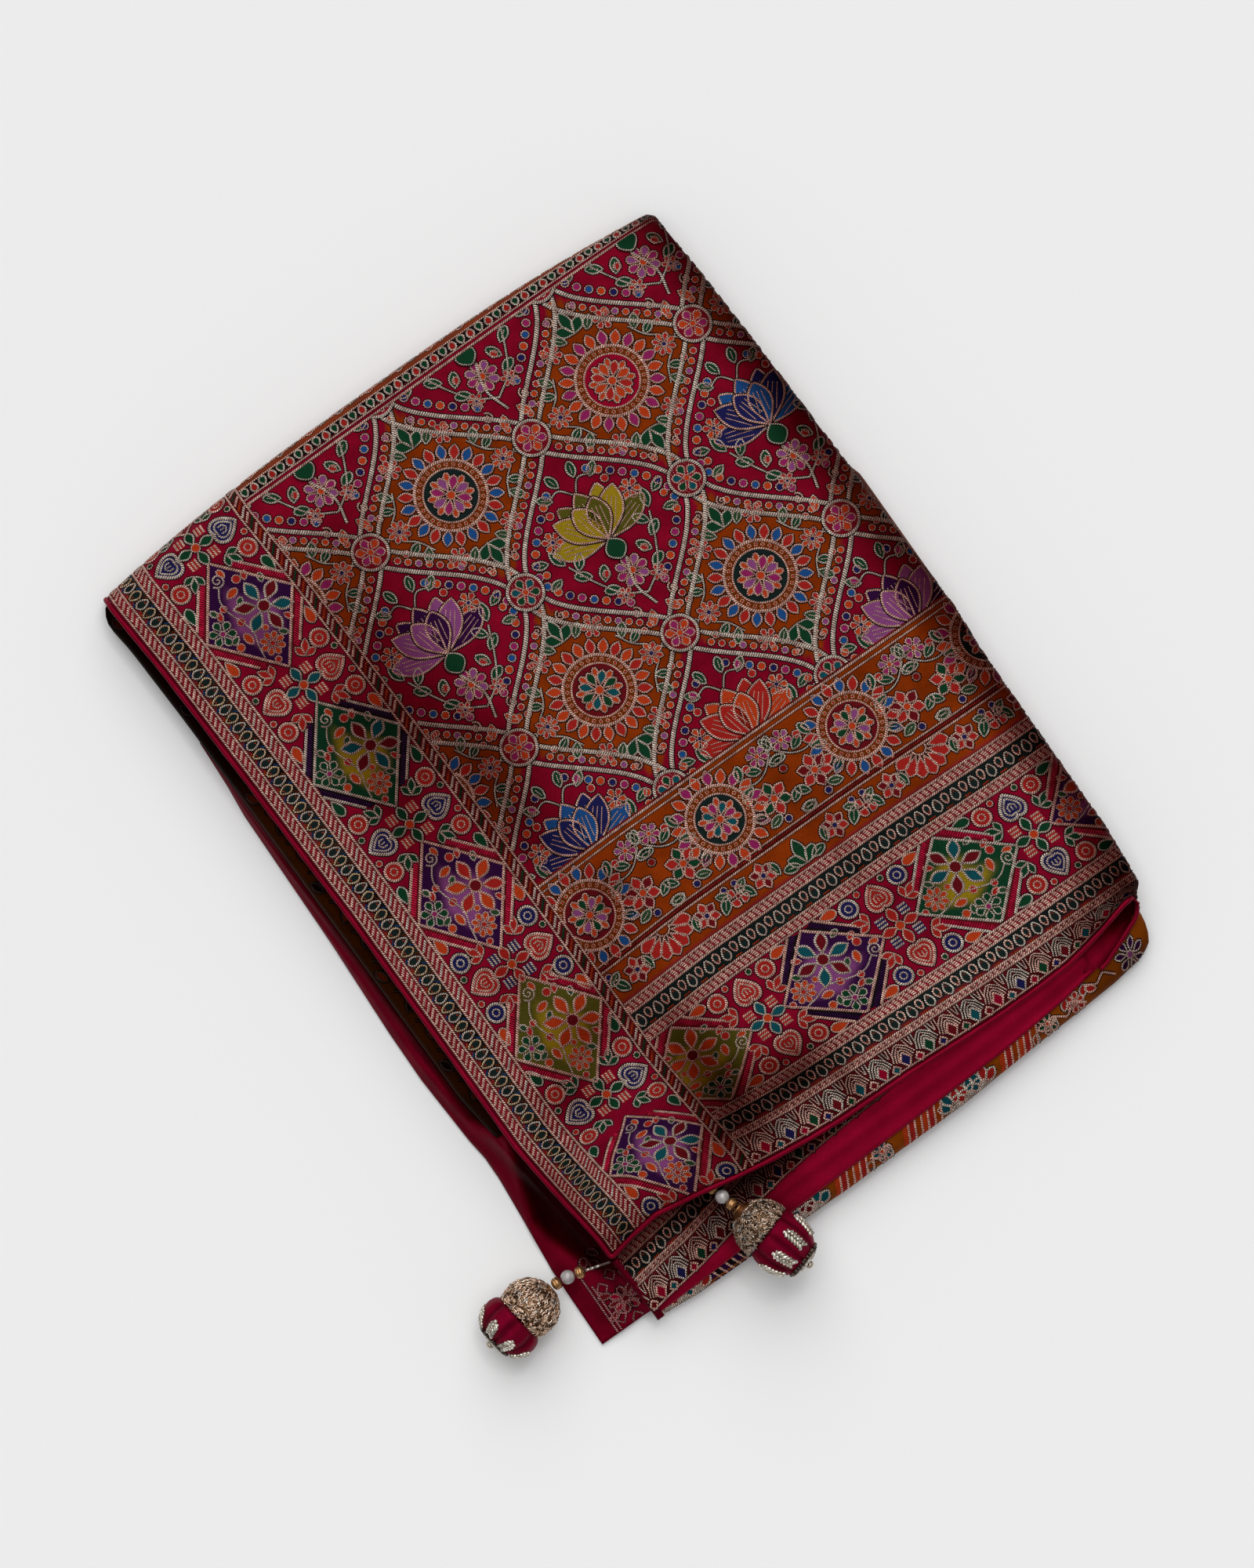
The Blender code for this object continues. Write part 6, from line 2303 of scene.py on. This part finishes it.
def make_ball(name, ball, radius):
    shares, angles = np.linspace(0.0, 0.985, 30), np.linspace(0.0, 2 * np.pi, 97)[:-1]
    share, angle = (grid.ravel() for grid in np.meshgrid(shares, angles, indexing="ij"))
    points, count = ball.point(share, angle), len(angles)
    quads, triangles = ring_faces(len(shares), count)
    points = np.vstack([points, points[:count].mean(axis=0), points[-count:].mean(axis=0)])
    points[:, 2] = np.maximum(points[:, 2], 0.05)
    maps = columns(np.append(angle, (0, 0)) * radius, np.append(share, (0, 0)) * 30)
    # The satin is painted darker along the eight grooves: painted shade in the grooves.
    shade = 1.0 - 0.5 * np.append(np.abs(np.cos(0.5 * LOBES * angle)) ** 10, (0, 0))
    paint = np.array((0.165, 0.0018, 0.0170)) * shade[:, None]
    piece = make_mesh("latkan_" + name + "_silk_ball", points, quads[:, ::-1], triangles[:, ::-1],
                      [BALL_SATIN], paint, cloth=maps)
    dress(piece, "latkan_silk", "latkan_" + name + "_ball")


BUGLE = turned_shape([(-1.40, 0.50), (-1.22, 0.78), (1.22, 0.78), (1.40, 0.50)], 8)
SEED_BEAD = turned_shape(round_rows(0.66, 0.84, 4), 8)
DARK_TONES = np.array(((0.10, 0.07, 0.05), (0.05, 0.035, 0.03)))
END_RINGS = (
    # share of the ball, number of beads, tones, size
    (0.775, 34, DARK_TONES, 0.95), (0.815, 30, DARK_TONES, 1.0), (0.855, 26, SILVER_TONES, 1.0),
    (0.895, 21, SILVER_TONES, 1.0), (0.935, 14, SILVER_TONES, 1.0), (0.970, 7, SILVER_TONES, 1.0),
)


def make_sprays(name, ball, top_share, steps):
    """Bugle sprays on the eight bulges, and the beads round the far end."""
    work = Beadwork()

    def lay(shape, share, angle, lean, size=1.0, tones=SILVER_TONES, raised=0.42):
        share, angle, lean = np.broadcast_arrays(np.atleast_1d(share).astype(float), angle, lean)
        middle = ball.point(share, angle)
        ahead = unit_rows(ball.point(share - 0.02, angle) - middle)
        aside = unit_rows(ball.point(share, angle + 0.03) - middle)
        out = unit_rows(np.cross(ahead, aside))
        hub = ball.neck + (middle - ball.neck) @ ball.axis[:, None] * ball.axis
        out *= np.sign(np.sum(out * (middle - hub), axis=1))[:, None]
        along = ahead * np.cos(lean)[:, None] + aside * np.sin(lean)[:, None]
        origins = middle + out * raised
        keep = origins[:, 2] > FLOOR_KEEP + 0.6
        if keep.any():
            dyes = tones[chance.integers(0, len(tones), len(share))]
            dyes = dyes * chance.uniform(0.8, 1.1, (len(share), 1))
            work.stamp(shape, origins[keep], along[keep], out[keep], dyes[keep], size)

    for k in range(LOBES):
        angle = 2 * np.pi * (k + 0.5) / LOBES + chance.normal(0.0, 0.03)
        top = top_share + chance.uniform(-0.03, 0.05)
        for step in np.arange(0.0, steps):
            for hand in (-1, 1):
                lay(BUGLE, top + 0.058 * step + 0.012 * hand, angle + hand * (0.080 + 0.010 * (step % 2)),
                    -hand * 0.80)
        lay(SEED_BEAD, top - 0.055, angle - 0.05, 0.0, 1.0, raised=0.55)
        lay(SEED_BEAD, top - 0.030, angle + 0.07, 0.0, 0.9, raised=0.55)
    for share, number, tones, size in END_RINGS:
        ring = np.arange(number) * 2 * np.pi / number
        lay(SEED_BEAD, np.full(number, share), ring, np.full(number, 0.5 * np.pi), size, tones)
    dress(work.make("latkan_" + name + "_sprays", METAL), "seed_bead")


for name, neck, axis, cap_length, ball_length, ball_radius in LATKANS:
    ball = Ball(neck, axis, cap_length + 0.3, ball_length, ball_radius * 0.985)
    make_ball(name, ball, ball_radius)
    make_sprays(name, ball, *SPRAY_SPANS[name])

# %% [markdown]
# Last come the knob at the end of each ball and the string of beads: gold rondelles with a slight waist, a
# glass pearl, and the twisted thread, two plies wound round each other, that ties them to the edging.

# %% Knobs and bead strings
RONDELLE = turned_shape([(-2.05, 0.7), (-1.95, 1.5), (-1.45, 2.35), (-0.75, 2.72), (-0.12, 2.75), (0.0, 2.6),
                         (0.12, 2.75), (0.75, 2.72), (1.45, 2.35), (1.95, 1.5), (2.05, 0.7)], 28)
PEARL_SHAPE = turned_shape(round_rows(3.1, 3.1, 17), 32)
KNOB_SHAPE = turned_shape(round_rows(1.4, 1.9, 7), 16)
THREAD_BEAD = turned_shape([(-1.2, 0.5), (-1.0, 0.75), (1.0, 0.75), (1.2, 0.5)], 10)
SAG = np.array((0.0, 0.0, -2.0))


def ply_path(path, radius, turns, phase):
    """Centre points of one ply wound round a path."""
    _, side, up = axis_frame(np.gradient(path, axis=0))
    angle = (phase + 2 * np.pi * turns * np.linspace(0.0, 1.0, len(path)))[:, None]
    return path + radius * (np.cos(angle) * side + np.sin(angle) * up)


def tube_shape(path, radius, sides=7):
    """A closed tube along a path, as points, quads and triangles."""
    _, side, up = axis_frame(np.gradient(path, axis=0))
    angle = (np.arange(sides) * 2 * np.pi / sides)[:, None]
    rings = path[:, None] + radius * (np.cos(angle) * side[:, None] + np.sin(angle) * up[:, None])
    points = np.vstack([rings.reshape(-1, 3), path[:1], path[-1:]])
    return points, *ring_faces(len(path), sides, clockwise=True)


def make_string(name, neck, axis, ball_end):
    """The knob at the ball's end, and the beads and thread at its neck."""
    thread_end, first, pearl, second = (np.array(p, float) for p in CHAINS[name])
    label = "latkan_" + name
    neck, axis = np.array(neck), axis_frame(axis)[0]
    run = unit_rows(first - thread_end)
    stop = first - 2.3 * run

    def hung(share):
        return thread_end * (1.0 - share) + stop * share + SAG * share * (1.0 - share)

    def bead(part, node, slot, shape, place, along, tone, finish=METAL):
        work = Beadwork()
        work.stamp(shape, place, along, UP, tone)
        dress(work.make(label + part, finish), slot, label + node)

    bead("_gold_bead_1", "_bead_1", "gold_bead", RONDELLE, first, pearl - first, GOLD)
    bead("_gold_bead_2", "_bead_2", "gold_bead", RONDELLE, second, neck - pearl, GOLD)
    bead("_glass_pearl", "_pearl", "pearl", PEARL_SHAPE, pearl, second - pearl, (0.5, 0.45, 0.44), PEARL)
    bead("_end_knob", "_knob", "seed_bead", KNOB_SHAPE, neck + axis * ball_end, axis, (0.5, 0.44, 0.34))
    thread = Beadwork()
    path = hung(np.linspace(0.0, 1.0, 40)[:, None])
    for phase in (0.0, np.pi):
        ply = ply_path(path, 0.27, np.linalg.norm(stop - thread_end) / 1.9, phase)
        thread.stamp(tube_shape(ply, 0.30), (0, 0, 0), (1, 0, 0), UP, (0.075, 0.045, 0.035))
    dress(thread.make(label + "_twisted_thread", THREAD_PLY), "thread", label + "_thread")
    if name == "left":
        seeds = Beadwork()
        for share, size in ((0.50, 0.8), (0.72, 0.85), (0.90, 0.8)):
            seeds.stamp(THREAD_BEAD, hung(share), run, UP, (0.36, 0.32, 0.27), size)
        dress(seeds.make(label + "_thread_beads", METAL), "seed_bead")


for name, neck, axis, cap_length, ball_length, _ in LATKANS:
    make_string(name, neck, axis, cap_length + 0.3 + 0.985 * ball_length + 1.9)
